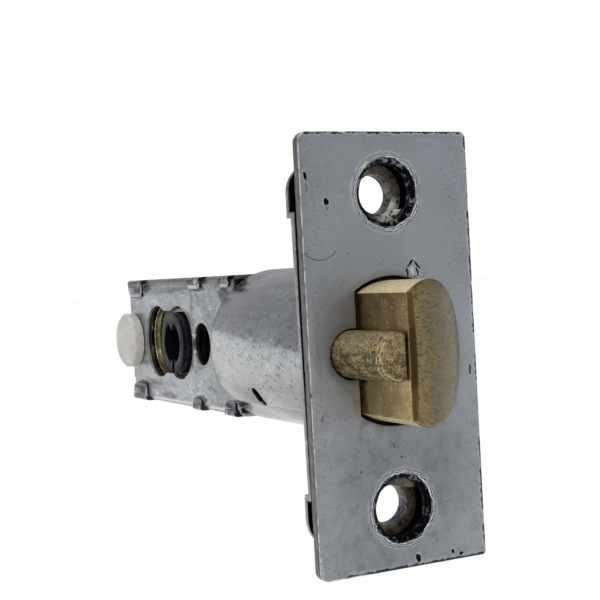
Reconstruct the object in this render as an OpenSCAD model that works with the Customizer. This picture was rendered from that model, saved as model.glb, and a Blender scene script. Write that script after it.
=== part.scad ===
// Adjustable tubular door latch with a guard bolt, in millimetres.
// X runs across the door's edge, Y into the door, Z up. The origin is the
// centre of the faceplate's front face. The near side, with the button, is -X.

/* [Faceplate] */
// Width of the faceplate, across the door's edge
plate_w = 25.4; // [25:0.1:30]
// Height of the faceplate
plate_h = 57.15; // [55:0.05:64]
// Thickness of the faceplate
plate_t = 1.5; // [1.2:0.1:2]
// Radius of the faceplate's corners
plate_corner_r = 1.3; // [0.5:0.1:3]
// Distance between the two screw holes
screw_spacing = 41.3; // [41:0.1:44]
// Diameter of the countersink at the front face
screw_head_d = 9.3; // [8.8:0.1:9.8]
// Diameter of the countersink below its chamfered rim
screw_throat_d = 7.7; // [7.2:0.1:8.2]
// Depth of the countersink's chamfered rim
screw_rim_h = 0.4; // [0.3:0.05:0.6]
// Diameter of the screw holes in the back plate
screw_hole_d = 5.3; // [4.5:0.1:5.8]

/* [Back plate] */
// Thickness of the back plate
back_t = 0.7; // [0.5:0.1:1]
// Gap between the faceplate and the back plate
back_gap = 0.8; // [0.5:0.1:1.2]
// How much further back the back plate's ends lie
pad_step = 1.1; // [0.8:0.1:1.4]
// Height of the set-back ends
pad_h = 7.1; // [6.6:0.1:7.4]
// How far the set-back ends reach past the screw centres
pad_over = 4.3; // [4.3:0.1:4.8]
// Radius of the back plate's corners
pad_corner_r = 4; // [2:0.1:4.5]
// Length of the collar drawn around each screw hole
screw_collar = 1.4; // [1:0.1:1.8]

/* [Housing tube] */
// Outer diameter of the housing tube
tube_d = 23.2; // [23.2:0.1:24]
// Wall of the housing tube
tube_wall = 1; // [0.8:0.1:1.1]
// Distance from the faceplate's front to the tube's rear end
tube_rear = 34.2; // [33:0.1:35.5]
// Distance from the faceplate's front to the spring seat
seat_y = 21.9; // [21.8:0.1:22.4]
// Thickness of the spring seat
seat_t = 1.2; // [1:0.1:1.4]

/* [Latch bolt] */
// Diameter of the latch bolt
bolt_d = 18.5; // [17.5:0.1:18.8]
// How far the latch bolt stands out of the faceplate
bolt_throw = 11.5; // [10.5:0.1:11.5]
// Distance from the axis to the bolt's flat side
bolt_flat = 5; // [4.8:0.1:5.2]
// Width of the flat nose of the bolt
nose_land = 1.1; // [0.6:0.1:2]
// Radius of the bolt's rounded bevel
bevel_r = 38; // [25:1:80]
// Height of the bevel's end above the faceplate
bevel_end = 1.2; // [0.8:0.1:2]
// Gap around the bolt in the faceplate
bolt_gap = 0.57; // [0.3:0.01:0.6]
// Length of the bolt's collar inside the tube
collar_len = 7.2; // [6.5:0.1:7.2]

/* [Guard bolt] */
// Radius of the guard bolt's round side
guard_r = 3.1; // [2.8:0.1:3.2]
// How far the guard bolt stands out of the faceplate
guard_throw = 11.3; // [10.5:0.1:11.4]
// Gap between the flat sides of the two bolts
flat_gap = 0.35; // [0.25:0.05:0.4]
// Width of the guard bolt's chamfer
guard_chamfer = 0.35; // [0.2:0.05:0.6]
// Width of the guard bolt's collar inside the tube
guard_collar_w = 9.2; // [8.6:0.1:9.6]

/* [Rear case] */
// Height of the rear case
case_h = 22; // [21.8:0.1:22.6]
// Thickness of the rear case
case_w = 12.7; // [12.7:0.1:13]
// Thickness of the case's sheet
case_t = 0.9; // [0.8:0.05:0.95]
// Outer radius of the case's bends
bend_r = 1.4; // [1.3:0.1:2]
// Distance from the faceplate's front to the case's shoulder
case_front = 36.6; // [36.2:0.1:37.4]
// Distance from the faceplate's front to the case's rear edge
case_rear = 83.6; // [83.2:0.1:86]
// Height of the neck that enters the tube
neck_h = 16.4; // [16:0.1:16.4]
// Height of the raised panel around the window
panel_h = 0.15; // [0.1:0.05:0.25]
// Thickness of the folded claws' lips
lip_t = 0.8; // [0.6:0.1:1]

/* [Backset] */
// Distance from the faceplate's front to the spindle
backset = 60.3; // [60:0.1:60.6]
// How far the spindle can be moved back
backset_step = 9.55; // [9.2:0.05:9.9]
// Radius of the window's two lobes
lobe_r = 6.3; // [6:0.1:6.4]
// Width of the window between its lobes
waist_w = 10.9; // [10.8:0.1:11.2]
// Diameter of the round hole ahead of the window
gauge_hole_d = 7; // [6:0.1:7.4]
// Distance from the faceplate's front to the round hole
gauge_hole_y = 50.2; // [49.8:0.1:50.4]

/* [Hub] */
// Diameter of the hub's journals
hub_d = 10.5; // [10.2:0.1:10.6]
// Diameter of the spindle hole
spindle_hole_d = 7; // [6.6:0.1:7.2]
// Height of the two pointed nibs in the spindle hole
nib_h = 1.4; // [1:0.1:1.4]
// Width of the nibs at their root
nib_w = 1.9; // [1.4:0.1:2.2]
// Width of the slit in the hub
slit_w = 1.1; // [0.8:0.1:1.4]
// How far the hub stands out of the case
hub_proud = 1.3; // [0.8:0.1:1.8]
// Angle through which the hub turns
hub_turn = 82; // [78:1:84]

/* [Button] */
// Diameter of the backset button
button_d = 9.8; // [8.8:0.1:10.4]
// Thickness of the backset button
button_h = 2.3; // [1.8:0.1:2.8]
// Distance from the faceplate's front to the button's axis
button_y = 81.8; // [81.4:0.1:82]
// Radius of the button's stem
stem_r = 1.7; // [1.5:0.1:1.8]

/* [Inner plates] */
// Thickness of the guide plates inside the case
guide_t = 1.1; // [0.9:0.05:1.15]
// Thickness of the carriage plates
carriage_t = 0.7; // [0.5:0.05:0.75]
// Thickness of the yoke plates
yoke_t = 0.7; // [0.5:0.05:0.75]
// Thickness of the tail strip
tail_t = 1.5; // [1.2:0.1:2]
// Height of the tail strip
tail_h = 6; // [5:0.1:6.2]

/* [Springs] */
// Length of the detent leaf
detent_leaf_l = 12; // [11:0.5:13]
// Width of the detent leaf
detent_leaf_w = 2; // [1.6:0.1:2.4]
// Width of the deadlock leaf
deadlock_w = 2.85; // [2.4:0.05:2.9]
// Outer diameter of the latch spring
latch_spring_d = 10.7; // [10:0.1:10.9]
// Wire of the latch spring
latch_wire = 0.85; // [0.7:0.05:1]
// Turns of the latch spring
latch_turns = 5.5; // [4:0.5:6]
// Outer diameter of the guard spring
guard_spring_d = 2.4; // [2:0.1:2.5]
// Wire of the guard spring
guard_wire = 0.35; // [0.25:0.05:0.4]
// Turns of the guard spring
guard_turns = 16; // [10:1:20]

/* [Hidden] */
$fn = 96;

// Clearances
slide_gap = 0.15;
plate_gap = 0.2;
guide_gap = 0.15;
bearing_gap = 0.05;
rivet_gap = 0.02;
seat_gap = 0.1;
cut = 1;

// Plates and tube
bolt_r = bolt_d / 2;
back_y = plate_t + back_gap;
pad_y = back_y + pad_step;
pad_top = screw_spacing / 2 + pad_over;
pad_low = pad_top - pad_h;
tube_r = tube_d / 2;
tube_bore_r = tube_r - tube_wall;
tube_front = back_y + back_t;
stake_w = 3.4;
stake_angles = [50, 130, 230, 310];
dish_r = 4.2;
weld_d = 2.6;
weld_edge = 2.2;
weld_end = 3;
weld_x = plate_w / 2 - weld_edge;
weld_z = pad_low - weld_end;
dish_h = 0.7;
slot_over = 0.45;
slot_r = 0.95;
tab_w = 2.7;
slot_angles = [35, 215];
slot_w = 3.3;
crimp_t = 1;
crimp_w = 2.6;
crimp_angle = 27;

// Bolts
collar_r = tube_bore_r - slide_gap;
collar_front = tube_front + seat_gap;
bolt_rear = collar_front + collar_len;
spring_x = 1.8;
spring_bore_r = latch_spring_d / 2 + plate_gap;
spring_front = 4.6;
bolt_pin_r = 1.2;
bolt_pin_y = 2.6;
bolt_pin_x0 = -bolt_flat + 0.2;
bolt_pin_x1 = bolt_r - 0.6;
guard_x = -(bolt_flat + 1.25);
guard_flat = bolt_flat + flat_gap;
guard_notch_r = guard_r + 0.25;
guard_spring_x = -(guard_flat + 1.95);
guard_bore_r = guard_spring_d / 2 + 0.15;
guard_spring_front = -3;
tail_front = bolt_pin_y - 1.5;
tail_pin_y = 37;
tail_pin_r = 1.2;
tail_rear = tail_pin_y + tail_pin_r + 0.5;
deadlock_z = guard_collar_w / 2 + 2 * plate_gap;
deadlock_foot_w = 1.75;
deadlock_foot_h = 2.2;

// Case
case_x = case_w / 2;
case_in = case_x - case_t;
wall_in = case_h / 2 - case_t;
neck_front = seat_y + seat_t + seat_gap;
pip_h = 0.6;
guide_in = case_in - pip_h - guide_t;
guide_front = case_front + 2.5;
guide_rear = case_rear - 0.8;
guide_z = wall_in - seat_gap;
pip_d = 2.8;
pip_z = guide_z - 1.9;
pip_y = [guide_front + 3, case_rear - 7.6];
guide_hole_d = gauge_hole_d - 1.6;
panel_front = backset - lobe_r - 0.6;
panel_top = lobe_r + 3.1;
panel_low = lobe_r + 0.9;
rear_claw = [case_rear - 3.7, 6.6, 3];
top_claws = [rear_claw, [gauge_hole_y + 1.4, 5.2, 1.9], [case_front + 2.6, 3.8, 1.8]];
low_claws = [rear_claw, [gauge_hole_y + 2.3, 3.4, 1.9], [case_front + 2.5, 3.8, 2.4]];
notch_z = stem_r + 0.3;

// Hub, yoke and carriage
hub_r = hub_d / 2;
hub_x = case_x + hub_proud;
wing_end = wall_in - 0.8;
wing_tip_r = 0.5;
wing_len = wing_end - wing_tip_r;
wing_rest = hub_turn / 2;
latch_travel = 2 * wing_len * sin(wing_rest);
carriage_in = guide_in - guide_gap - carriage_t;
yoke_in = carriage_in - plate_gap - yoke_t;
wing_t = 2 * (yoke_in - plate_gap);
yoke_z = wall_in - 0.5;
yoke_slot = hub_r + 0.25;
tab_y = backset - wing_len * sin(wing_rest) + wing_tip_r + 0.3;
tab_low = wing_len * cos(wing_rest) - 0.1;
yoke_rear = tab_y + yoke_t + 1.2;
bridge_rear = backset - hub_r - latch_travel - 0.3;
bridge_front = bridge_rear - 3;
strap_front = neck_front + 0.8;
strap_z = 5;
catch_slot = tail_pin_r + 0.15;
rivet_r = 1.1;
rivet_neck_r = 0.8;
strap_rivet_r = 0.85;
strap_neck_r = 0.6;
strap_rivet = [strap_front + 1.2, strap_z - 0.9];
bridge_rivet = [bridge_front + 1.5, yoke_z - 1.7];
carriage_front = backset - 10;
carriage_rear = case_rear - 0.2;
carriage_z = wall_in - 0.2;
post_r = 1.6;
post_neck_r = 1;
post_y = 75;
post_z = 7.2;
detent_r = 1.2;
detent = [backset + lobe_r - 0.3, lobe_r + detent_r + plate_gap];
detent_over = 1.5;
detent_leaf_y = detent[0] + detent_over - detent_leaf_l;
detent_t = 0.4;
detent_rivet_r = 0.8;
detent_rivet_at = [detent_leaf_y + 1.5, detent[1]];
leaf_t = 0.4;

brass = "#b08d4a";
zinc = "#b9bdc2";
plated = "#9ea2a8";
chromate = "#b59a52";
black = "#2b2c2f";
steel = "#8d9096";
plastic = "#f1efe8";

// Extrudes a section drawn in X and Z between two values of Y
module along_y(y0, y1) {
    translate([0, y1, 0]) rotate([90, 0, 0]) linear_extrude(y1 - y0) children();
}

// Extrudes a section drawn in Y and Z between two values of X
module along_x(x0, x1) {
    translate([x0, 0, 0]) rotate([90, 0, 90]) linear_extrude(x1 - x0) children();
}

// Draws its children and their mirror image below
module both_z() {
    children();
    mirror([0, 0, 1]) children();
}

// Rectangle with round corners, centred
module round_rect(w, h, r) {
    square([w - 2 * r, h], center = true);
    square([w, h - 2 * r], center = true);
    for (x = [-1, 1], z = [-1, 1])
        translate([x * (w / 2 - r), z * (h / 2 - r)]) circle(r);
}

// D-shaped section of the latch bolt, with its flat on the near side
module bolt_section(r, flat) {
    intersection() {
        circle(r);
        translate([-flat, -r]) square([flat + r, 2 * r]);
    }
}

// Opening in the plates for both bolts
module bolt_opening() {
    bolt_section(bolt_r + bolt_gap, bolt_flat + bolt_gap);
    translate([guard_x, 0]) circle(guard_notch_r);
}

module faceplate() {
    color(plated) difference() {
        along_y(0, plate_t) round_rect(plate_w, plate_h, plate_corner_r);
        along_y(-cut, plate_t + cut) bolt_opening();
        both_z() translate([0, 0, screw_spacing / 2]) rotate([-90, 0, 0]) {
            cylinder(h = screw_rim_h, d1 = screw_head_d, d2 = screw_throat_d);
            cylinder(h = plate_t, d = screw_throat_d);
            translate([0, 0, -cut]) cylinder(h = cut, d = screw_head_d);
            translate([0, 0, plate_t]) cylinder(h = cut, d = screw_throat_d);
        }
    }
}

// One end of the back plate, set back behind a screw hole
module back_pad() {
    along_y(pad_y, pad_y + back_t) intersection() {
        translate([0, pad_top - pad_h]) round_rect(plate_w, 2 * pad_h, pad_corner_r);
        translate([-plate_w / 2, pad_low]) square([plate_w, pad_h]);
    }
    translate([-plate_w / 2, back_y, pad_low]) cube([plate_w, pad_step + back_t, back_t]);
    translate([0, back_y, screw_spacing / 2]) rotate([-90, 0, 0])
        cylinder(h = pad_step + back_t, r = dish_r + back_t);
    translate([0, pad_y, screw_spacing / 2]) rotate([-90, 0, 0])
        cylinder(h = back_t + screw_collar, d = screw_hole_d + 2 * back_t);
}

// Round dish and hole behind a screw hole
module dish_cut() {
    translate([0, 0, screw_spacing / 2]) rotate([-90, 0, 0]) {
        translate([0, 0, back_y - cut]) cylinder(h = cut, r = dish_r);
        translate([0, 0, back_y]) cylinder(h = dish_h, r1 = dish_r, r2 = screw_hole_d / 2);
        translate([0, 0, back_y])
            cylinder(h = pad_step + back_t + screw_collar + cut, d = screw_hole_d);
    }
    translate([-plate_w, back_y - cut, pad_low + back_t]) cube([2 * plate_w, pad_step + cut, pad_h]);
}

module back_plate() {
    color(zinc) difference() {
        union() {
            along_y(back_y, back_y + back_t) square([plate_w, 2 * pad_low + back_t], center = true);
            both_z() back_pad();
            for (x = [-1, 1], z = [-1, 1])
                translate([x * weld_x, plate_t, z * weld_z]) rotate([-90, 0, 0])
                    cylinder(h = back_gap, d = weld_d);
        }
        along_y(back_y - cut, back_y + back_t + cut) bolt_opening();
        for (a = stake_angles)
            along_y(back_y - cut, tube_front + cut) rotate(a)
                translate([tube_bore_r - 3 * seat_gap, -stake_w / 2 - seat_gap])
                    square([tube_wall + 4 * seat_gap, stake_w + 2 * seat_gap]);
        both_z() dish_cut();
    }
}

module housing_tube() {
    color(zinc) difference() {
        union() {
            along_y(tube_front, tube_rear) difference() {
                circle(tube_r);
                circle(tube_bore_r);
            }
            along_y(back_y + seat_gap, tube_front + cut) intersection() {
                difference() {
                    circle(tube_r);
                    circle(tube_bore_r);
                }
                for (a = stake_angles)
                    rotate(a) translate([tube_bore_r - cut, -stake_w / 2]) square([3, stake_w]);
            }
            along_y(tube_rear - crimp_t, tube_rear) intersection() {
                circle(tube_r);
                for (a = [-1, 1], b = [-1, 1])
                    translate([a * tube_bore_r * sin(crimp_angle) - crimp_w / 2,
                        b > 0 ? neck_h / 2 + seat_gap : -tube_r])
                        square([crimp_w, tube_r - neck_h / 2 - seat_gap]);
            }
        }
        for (a = slot_angles)
            rotate([0, -a, 0]) along_x(tube_bore_r - cut, tube_r + cut)
                translate([seat_y + seat_t / 2, 0]) round_rect(seat_t + 2 * slot_over, slot_w, slot_r);
    }
}

module spring_seat() {
    color(chromate) along_y(seat_y, seat_y + seat_t) difference() {
        union() {
            circle(tube_bore_r - seat_gap);
            intersection() {
                circle(tube_bore_r + tube_wall / 2);
                for (a = slot_angles)
                    rotate(a) translate([tube_bore_r - cut, -tab_w / 2]) square([3, tab_w]);
            }
        }
        square([tail_t + 2 * plate_gap, tail_h + 2 * plate_gap], center = true);
    }
}

// Spring leaf that drops behind the latch bolt when the guard bolt is held in
module deadlock_leaf() {
    color(steel) {
        along_y(bolt_rear + 1, seat_y) translate([seat_gap - guard_flat - deadlock_w, deadlock_z])
            square([deadlock_w, leaf_t]);
        along_y(seat_y - leaf_t, seat_y)
            translate([seat_gap - guard_flat - deadlock_foot_w, deadlock_z])
                square([deadlock_foot_w, deadlock_foot_h]);
    }
}

// Channel section with rounded bends on the near side, open on the far side
module channel(h) {
    difference() {
        union() {
            translate([bend_r - case_x, -h / 2]) square([case_in + case_x - bend_r, h]);
            translate([-case_x, bend_r - h / 2]) square([case_w / 2, h - 2 * bend_r]);
            for (z = [-1, 1]) translate([bend_r - case_x, z * (h / 2 - bend_r)]) circle(bend_r);
        }
        translate([-case_in, case_t - h / 2]) square([case_w, h - 2 * case_t]);
    }
}

// Window with two lobes, one for each backset
module window(r, waist) {
    translate([backset, 0]) circle(r);
    translate([backset + backset_step, 0]) circle(r);
    translate([backset, -waist / 2]) square([backset_step, waist]);
}

module stem_notch(rear) {
    translate([button_y - stem_r - 0.4, -notch_z]) square([rear - button_y + stem_r + cut, 2 * notch_z]);
}

// Outline of the panel pressed up around the window
module panel_outline() {
    polygon([
        [panel_front, panel_top], [case_rear, panel_top], [case_rear, -panel_low],
        [panel_front + 4, -panel_low], [panel_front, -panel_low - 1.2]
    ]);
}

// Slot for a claw in the top bend, and room for its lip on the panel
module claw_room(c) {
    translate([-case_x - cut, c[0] - c[1] / 2 - seat_gap, wall_in - seat_gap])
        cube([case_w + cut, c[1] + 2 * seat_gap, case_t + cut]);
    translate([-case_x - cut, c[0] - c[1] / 2 - seat_gap, case_h / 2 - c[2] - seat_gap])
        cube([cut, c[1] + 2 * seat_gap, c[2] + cut]);
}

module case_shell() {
    color(zinc) difference() {
        union() {
            along_y(neck_front, case_front) channel(neck_h);
            along_y(case_front, case_rear) channel(case_h);
            along_x(-case_x - panel_h, -case_x) panel_outline();
        }
        along_x(-case_x - cut, -case_in + cut) {
            window(lobe_r, waist_w);
            translate([gauge_hole_y, 0]) circle(d = gauge_hole_d);
            stem_notch(case_rear);
        }
        for (c = top_claws) claw_room(c);
        mirror([0, 0, 1]) for (c = low_claws) claw_room(c);
    }
}

// Section of a claw: over the top edge and down onto the near face
module claw_section(lip) {
    translate([-case_x, wall_in]) square([case_w, case_t]);
    translate([-case_x - lip_t, case_h / 2 - lip]) square([lip_t, lip - lip_t]);
    intersection() {
        translate([-case_x, case_h / 2 - lip_t]) circle(lip_t);
        translate([-case_x - lip_t, case_h / 2 - lip_t]) square(lip_t);
    }
}

// One claw, given the place of its middle, its width and its lip's height
module claw(c) {
    along_y(c[0] - c[1] / 2, c[0] + c[1] / 2) claw_section(c[2]);
}

module case_back() {
    color(zinc) {
        along_x(case_in, case_x) difference() {
            union() {
                translate([case_front, -case_h / 2]) square([case_rear - case_front, case_h]);
                translate([neck_front, -neck_h / 2]) square([case_front - neck_front, neck_h]);
            }
            window(lobe_r, waist_w);
            translate([gauge_hole_y, 0]) circle(d = gauge_hole_d);
        }
        for (c = top_claws) claw(c);
        mirror([0, 0, 1]) for (c = low_claws) claw(c);
    }
}

// Guide plate on the far side, with pips that space it from the case
module guide_plate() {
    difference() {
        union() {
            along_x(guide_in, guide_in + guide_t)
                translate([guide_front, -guide_z]) square([guide_rear - guide_front, 2 * guide_z]);
            for (y = pip_y, z = [-1, 1])
                along_x(guide_in, case_in) translate([y, z * pip_z]) circle(d = pip_d);
        }
        along_x(guide_in - cut, case_in + cut) {
            window(lobe_r, waist_w);
            translate([gauge_hole_y, 0]) circle(d = guide_hole_d);
        }
    }
}

module near_guide_plate() {
    color(chromate) mirror([1, 0, 0]) difference() {
        guide_plate();
        along_x(guide_in - cut, case_in + cut) stem_notch(guide_rear);
    }
}

module far_guide_plate() {
    color(chromate) difference() {
        guide_plate();
        along_x(guide_in - cut, case_in + cut) {
            translate(detent) circle(detent_r + plate_gap);
            translate(detent_rivet_at) circle(detent_rivet_r + rivet_gap);
        }
    }
}

// Leaf with a bump that holds the carriage at either backset
module detent_spring() {
    leaf_x = guide_in + guide_t;
    color(steel) difference() {
        union() {
            along_x(leaf_x, leaf_x + detent_t)
                translate([detent_leaf_y, detent[1] - detent_leaf_w / 2])
                    square([detent_leaf_l, detent_leaf_w]);
            along_x(carriage_in + 0.1, leaf_x) translate(detent) circle(detent_r);
        }
        along_x(leaf_x - cut, leaf_x + cut)
            translate(detent_rivet_at) circle(detent_rivet_r + rivet_gap);
    }
}

module detent_rivet() {
    color(steel) along_x(guide_in, guide_in + guide_t + detent_t)
        translate(detent_rivet_at) circle(detent_rivet_r);
}

// Side view of the bolt's nose: flat land, then the rounded bevel
module nose_profile() {
    start = [nose_land - bolt_flat, -bolt_throw];
    end = [bolt_r, -bevel_end];
    chord = norm(end - start);
    along = (end - start) / chord;
    inward = [-along[1], along[0]];
    centre = (start + end) / 2 + inward * sqrt(bevel_r * bevel_r - chord * chord / 4);
    intersection() {
        translate(centre) circle(bevel_r, $fn = 240);
        translate([-bolt_flat - cut, -bolt_throw])
            square([bolt_flat + bolt_r + 2 * cut, bolt_throw + bolt_rear + cut]);
    }
}

module latch_bolt() {
    color(brass) difference() {
        union() {
            intersection() {
                along_y(-bolt_throw - cut, collar_front + 0.5) bolt_section(bolt_r, bolt_flat);
                translate([0, 0, -bolt_r - cut]) linear_extrude(2 * (bolt_r + cut)) nose_profile();
            }
            along_y(collar_front, bolt_rear) bolt_section(collar_r, bolt_flat);
        }
        along_y(spring_front, bolt_rear + cut) translate([spring_x, 0]) circle(spring_bore_r);
        along_y(tail_front - plate_gap, spring_front + cut)
            square([tail_t + 2 * seat_gap, tail_h + 2 * seat_gap], center = true);
        along_x(bolt_pin_x0 - cut, bolt_pin_x1) translate([bolt_pin_y, 0]) circle(bolt_pin_r + rivet_gap);
    }
}

module bolt_pin() {
    color(steel) along_x(bolt_pin_x0, bolt_pin_x1) translate([bolt_pin_y, 0]) circle(bolt_pin_r);
}

// Strip that joins the latch bolt to the yoke
module latch_tail() {
    color(steel) along_x(-tail_t / 2, tail_t / 2) difference() {
        union() {
            translate([tail_front, -tail_h / 2]) square([tail_pin_y - tail_front - 2, tail_h]);
            translate([tail_pin_y - 3, -tail_h / 4]) square([3, tail_h / 2]);
            translate([tail_pin_y, 0]) circle(tail_pin_r + 0.5);
        }
        translate([bolt_pin_y, 0]) circle(bolt_pin_r + rivet_gap);
        translate([tail_pin_y, 0]) circle(tail_pin_r + rivet_gap);
    }
}

module tail_pin() {
    pin_x = yoke_in + yoke_t;
    color(steel) along_x(-pin_x, pin_x) translate([tail_pin_y, 0]) circle(tail_pin_r);
}

// Section of the guard bolt's collar inside the tube
module guard_collar_section() {
    intersection() {
        circle(collar_r);
        translate([-tube_r, -guard_collar_w / 2]) square([tube_r - guard_flat, guard_collar_w]);
    }
}

module guard_bolt() {
    color(brass) difference() {
        union() {
            intersection() {
                translate([guard_x, -guard_throw, 0]) rotate([-90, 0, 0]) {
                    cylinder(h = guard_chamfer, r1 = guard_r - guard_chamfer, r2 = guard_r);
                    translate([0, 0, guard_chamfer])
                        cylinder(h = guard_throw + collar_front - guard_chamfer + 0.5, r = guard_r);
                }
                translate([-tube_r, -guard_throw - cut, -guard_r - cut])
                    cube([tube_r - guard_flat, guard_throw + bolt_rear, 2 * (guard_r + cut)]);
            }
            along_y(collar_front, bolt_rear) guard_collar_section();
        }
        along_y(guard_spring_front, bolt_rear + cut) translate([guard_spring_x, 0]) circle(guard_bore_r);
    }
}

// Wire wound on a helix along Y, as a closed tube
module coil(coil_r, wire_r, turns, y0, y1, per_turn, sides) {
    rings = turns * per_turn;
    run = y1 - y0 - 2 * wire_r;
    points = [
        for (i = [0 : rings], k = [0 : sides - 1])
            let (
                a = 360 * i / per_turn,
                b = 360 * k / sides,
                r = coil_r + wire_r * cos(b)
            )
            [r * cos(a), y0 + wire_r + run * i / rings + wire_r * sin(b), r * sin(a)]
    ];
    walls = [
        for (i = [0 : rings - 1], k = [0 : sides - 1])
            let (n = (k + 1) % sides)
            [i * sides + k, i * sides + n, (i + 1) * sides + n, (i + 1) * sides + k]
    ];
    first = [for (k = [0 : sides - 1]) sides - 1 - k];
    last = [for (k = [0 : sides - 1]) rings * sides + k];
    polyhedron(points = points, faces = concat(walls, [first, last]), convexity = 10);
}

module latch_spring() {
    wire_r = latch_wire / 2;
    color(steel) translate([spring_x, 0, 0])
        coil(latch_spring_d / 2 - wire_r, wire_r, latch_turns, spring_front + seat_gap,
            seat_y - seat_gap, 20, 8);
}

module guard_spring() {
    wire_r = guard_wire / 2;
    color(steel) translate([guard_spring_x, 0, 0])
        coil(guard_spring_d / 2 - wire_r, wire_r, guard_turns, guard_spring_front + seat_gap,
            seat_y - seat_gap, 12, 6);
}

// Carriage plate on the far side, which holds the hub's bearing
module carriage_plate() {
    along_x(carriage_in, carriage_in + carriage_t) difference() {
        translate([carriage_front, -carriage_z])
            square([carriage_rear - carriage_front, 2 * carriage_z]);
        translate([backset, 0]) circle(hub_r + bearing_gap);
        for (z = [-1, 1]) translate([post_y, z * post_z]) circle(post_neck_r + rivet_gap);
    }
}

module near_carriage_plate() {
    color(chromate) mirror([1, 0, 0]) difference() {
        carriage_plate();
        along_x(carriage_in - cut, carriage_in + cut) translate([button_y, 0])
            circle(stem_r - 0.5 + rivet_gap);
    }
}

module far_carriage_plate() {
    color(chromate) difference() {
        carriage_plate();
        along_x(carriage_in - cut, carriage_in + cut) for (y = [0, backset_step])
            translate([detent[0] - y, detent[1]]) circle(detent_r + plate_gap);
    }
}

// Round pin across the latch with a shoulder against each of two plates
module shouldered_pin(at, shoulder_x, shoulder_r, plate, neck_r) {
    along_x(-shoulder_x, shoulder_x) translate(at) circle(shoulder_r);
    along_x(-shoulder_x - plate, shoulder_x + plate) translate(at) circle(neck_r);
}

module upper_carriage_post() {
    color(steel) shouldered_pin([post_y, post_z], carriage_in, post_r, carriage_t, post_neck_r);
}

module lower_carriage_post() {
    color(steel) shouldered_pin([post_y, -post_z], carriage_in, post_r, carriage_t, post_neck_r);
}

// White button with its stem, riveted to the near carriage plate
module backset_button() {
    head_x = -case_x - panel_h - slide_gap;
    plate_x = -carriage_in - carriage_t;
    color(plastic) translate([0, button_y, 0]) rotate([0, 90, 0]) {
        translate([0, 0, head_x - button_h + 0.4]) cylinder(h = button_h - 0.4, d = button_d);
        translate([0, 0, head_x - button_h]) cylinder(h = 0.4, d1 = button_d - 0.8, d2 = button_d);
        translate([0, 0, head_x - 0.5]) cylinder(h = plate_x - head_x + 0.5, r = stem_r);
        translate([0, 0, plate_x - 0.5]) cylinder(h = carriage_t + 0.5, r = stem_r - 0.5);
    }
}

// Yoke plate on the far side: strap with the catch slot, bridge, two arms with drive tabs
module yoke_plate() {
    along_x(yoke_in, yoke_in + yoke_t) difference() {
        union() {
            translate([strap_front, -strap_z]) square([bridge_front - strap_front + cut, 2 * strap_z]);
            translate([bridge_front, -yoke_z]) square([yoke_rear - bridge_front, 2 * yoke_z]);
        }
        translate([bridge_rear, -yoke_slot]) square([yoke_rear, 2 * yoke_slot]);
        translate([tail_pin_y - backset_step, -catch_slot]) square([backset_step, 2 * catch_slot]);
        for (y = [0, backset_step]) translate([tail_pin_y - y, 0]) circle(catch_slot);
        for (z = [-1, 1]) {
            translate([strap_rivet[0], z * strap_rivet[1]]) circle(strap_neck_r + rivet_gap);
            translate([bridge_rivet[0], z * bridge_rivet[1]]) circle(rivet_neck_r + rivet_gap);
        }
    }
    both_z() translate([seat_gap, tab_y, tab_low]) cube([yoke_in + 0.3, yoke_t, yoke_z - tab_low]);
}

module near_yoke_plate() {
    color(steel) mirror([1, 0, 0]) difference() {
        yoke_plate();
        along_x(yoke_in - cut, yoke_in + cut) translate(catch_rivet_at()) circle(0.6 + rivet_gap);
    }
}

module far_yoke_plate() {
    color(steel) yoke_plate();
}

module upper_strap_rivet() {
    color(steel) shouldered_pin(strap_rivet, yoke_in, strap_rivet_r, yoke_t, strap_neck_r);
}

module lower_strap_rivet() {
    color(steel)
        shouldered_pin([strap_rivet[0], -strap_rivet[1]], yoke_in, strap_rivet_r, yoke_t, strap_neck_r);
}

module upper_bridge_rivet() {
    color(steel) shouldered_pin(bridge_rivet, yoke_in, rivet_r, yoke_t, rivet_neck_r);
}

module lower_bridge_rivet() {
    color(steel) shouldered_pin([bridge_rivet[0], -bridge_rivet[1]], yoke_in, rivet_r, yoke_t, rivet_neck_r);
}

function catch_rivet_at() = [strap_front + 4.3, strap_z - 1.8];

// Leaf whose tooth stands in the slot ahead of the tail pin
module backset_catch() {
    leaf_x = -(yoke_in + yoke_t) - leaf_t;
    tooth_rear = tail_pin_y - tail_pin_r - 0.2;
    color(steel) difference() {
        union() {
            along_x(leaf_x, leaf_x + leaf_t) {
                translate([strap_front + 2.8, strap_z - 2.8]) square([tooth_rear - strap_front - 2.8, 2]);
                translate([tooth_rear - 1.7, -1]) square([1.7, strap_z - 1]);
            }
            along_x(leaf_x, -tail_t / 2 - 0.2) translate([tooth_rear - 1.7, -1]) square([1.7, 2]);
        }
        along_x(leaf_x - cut, leaf_x + cut) translate(catch_rivet_at()) circle(0.6 + rivet_gap);
    }
}

module catch_rivet() {
    rivet_x = yoke_in + yoke_t + leaf_t;
    color(steel) along_x(-rivet_x, -yoke_in) translate(catch_rivet_at()) circle(0.6);
}

// One wing of the hub, upright, with a small round tip
module wing() {
    polygon([[-2.6, 3.5], [-wing_tip_r, wing_len], [0.3, wing_len], [0.3, 3.5]]);
    translate([0, wing_len]) circle(wing_tip_r, $fn = 48);
}

module nib() {
    polygon([
        [-nib_w / 2, -spindle_hole_d / 2 - 0.5], [nib_w / 2, -spindle_hole_d / 2 - 0.5],
        [nib_w / 2, 0.35 - spindle_hole_d / 2], [0, nib_h - spindle_hole_d / 2],
        [-nib_w / 2, 0.35 - spindle_hole_d / 2]
    ]);
}

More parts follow.
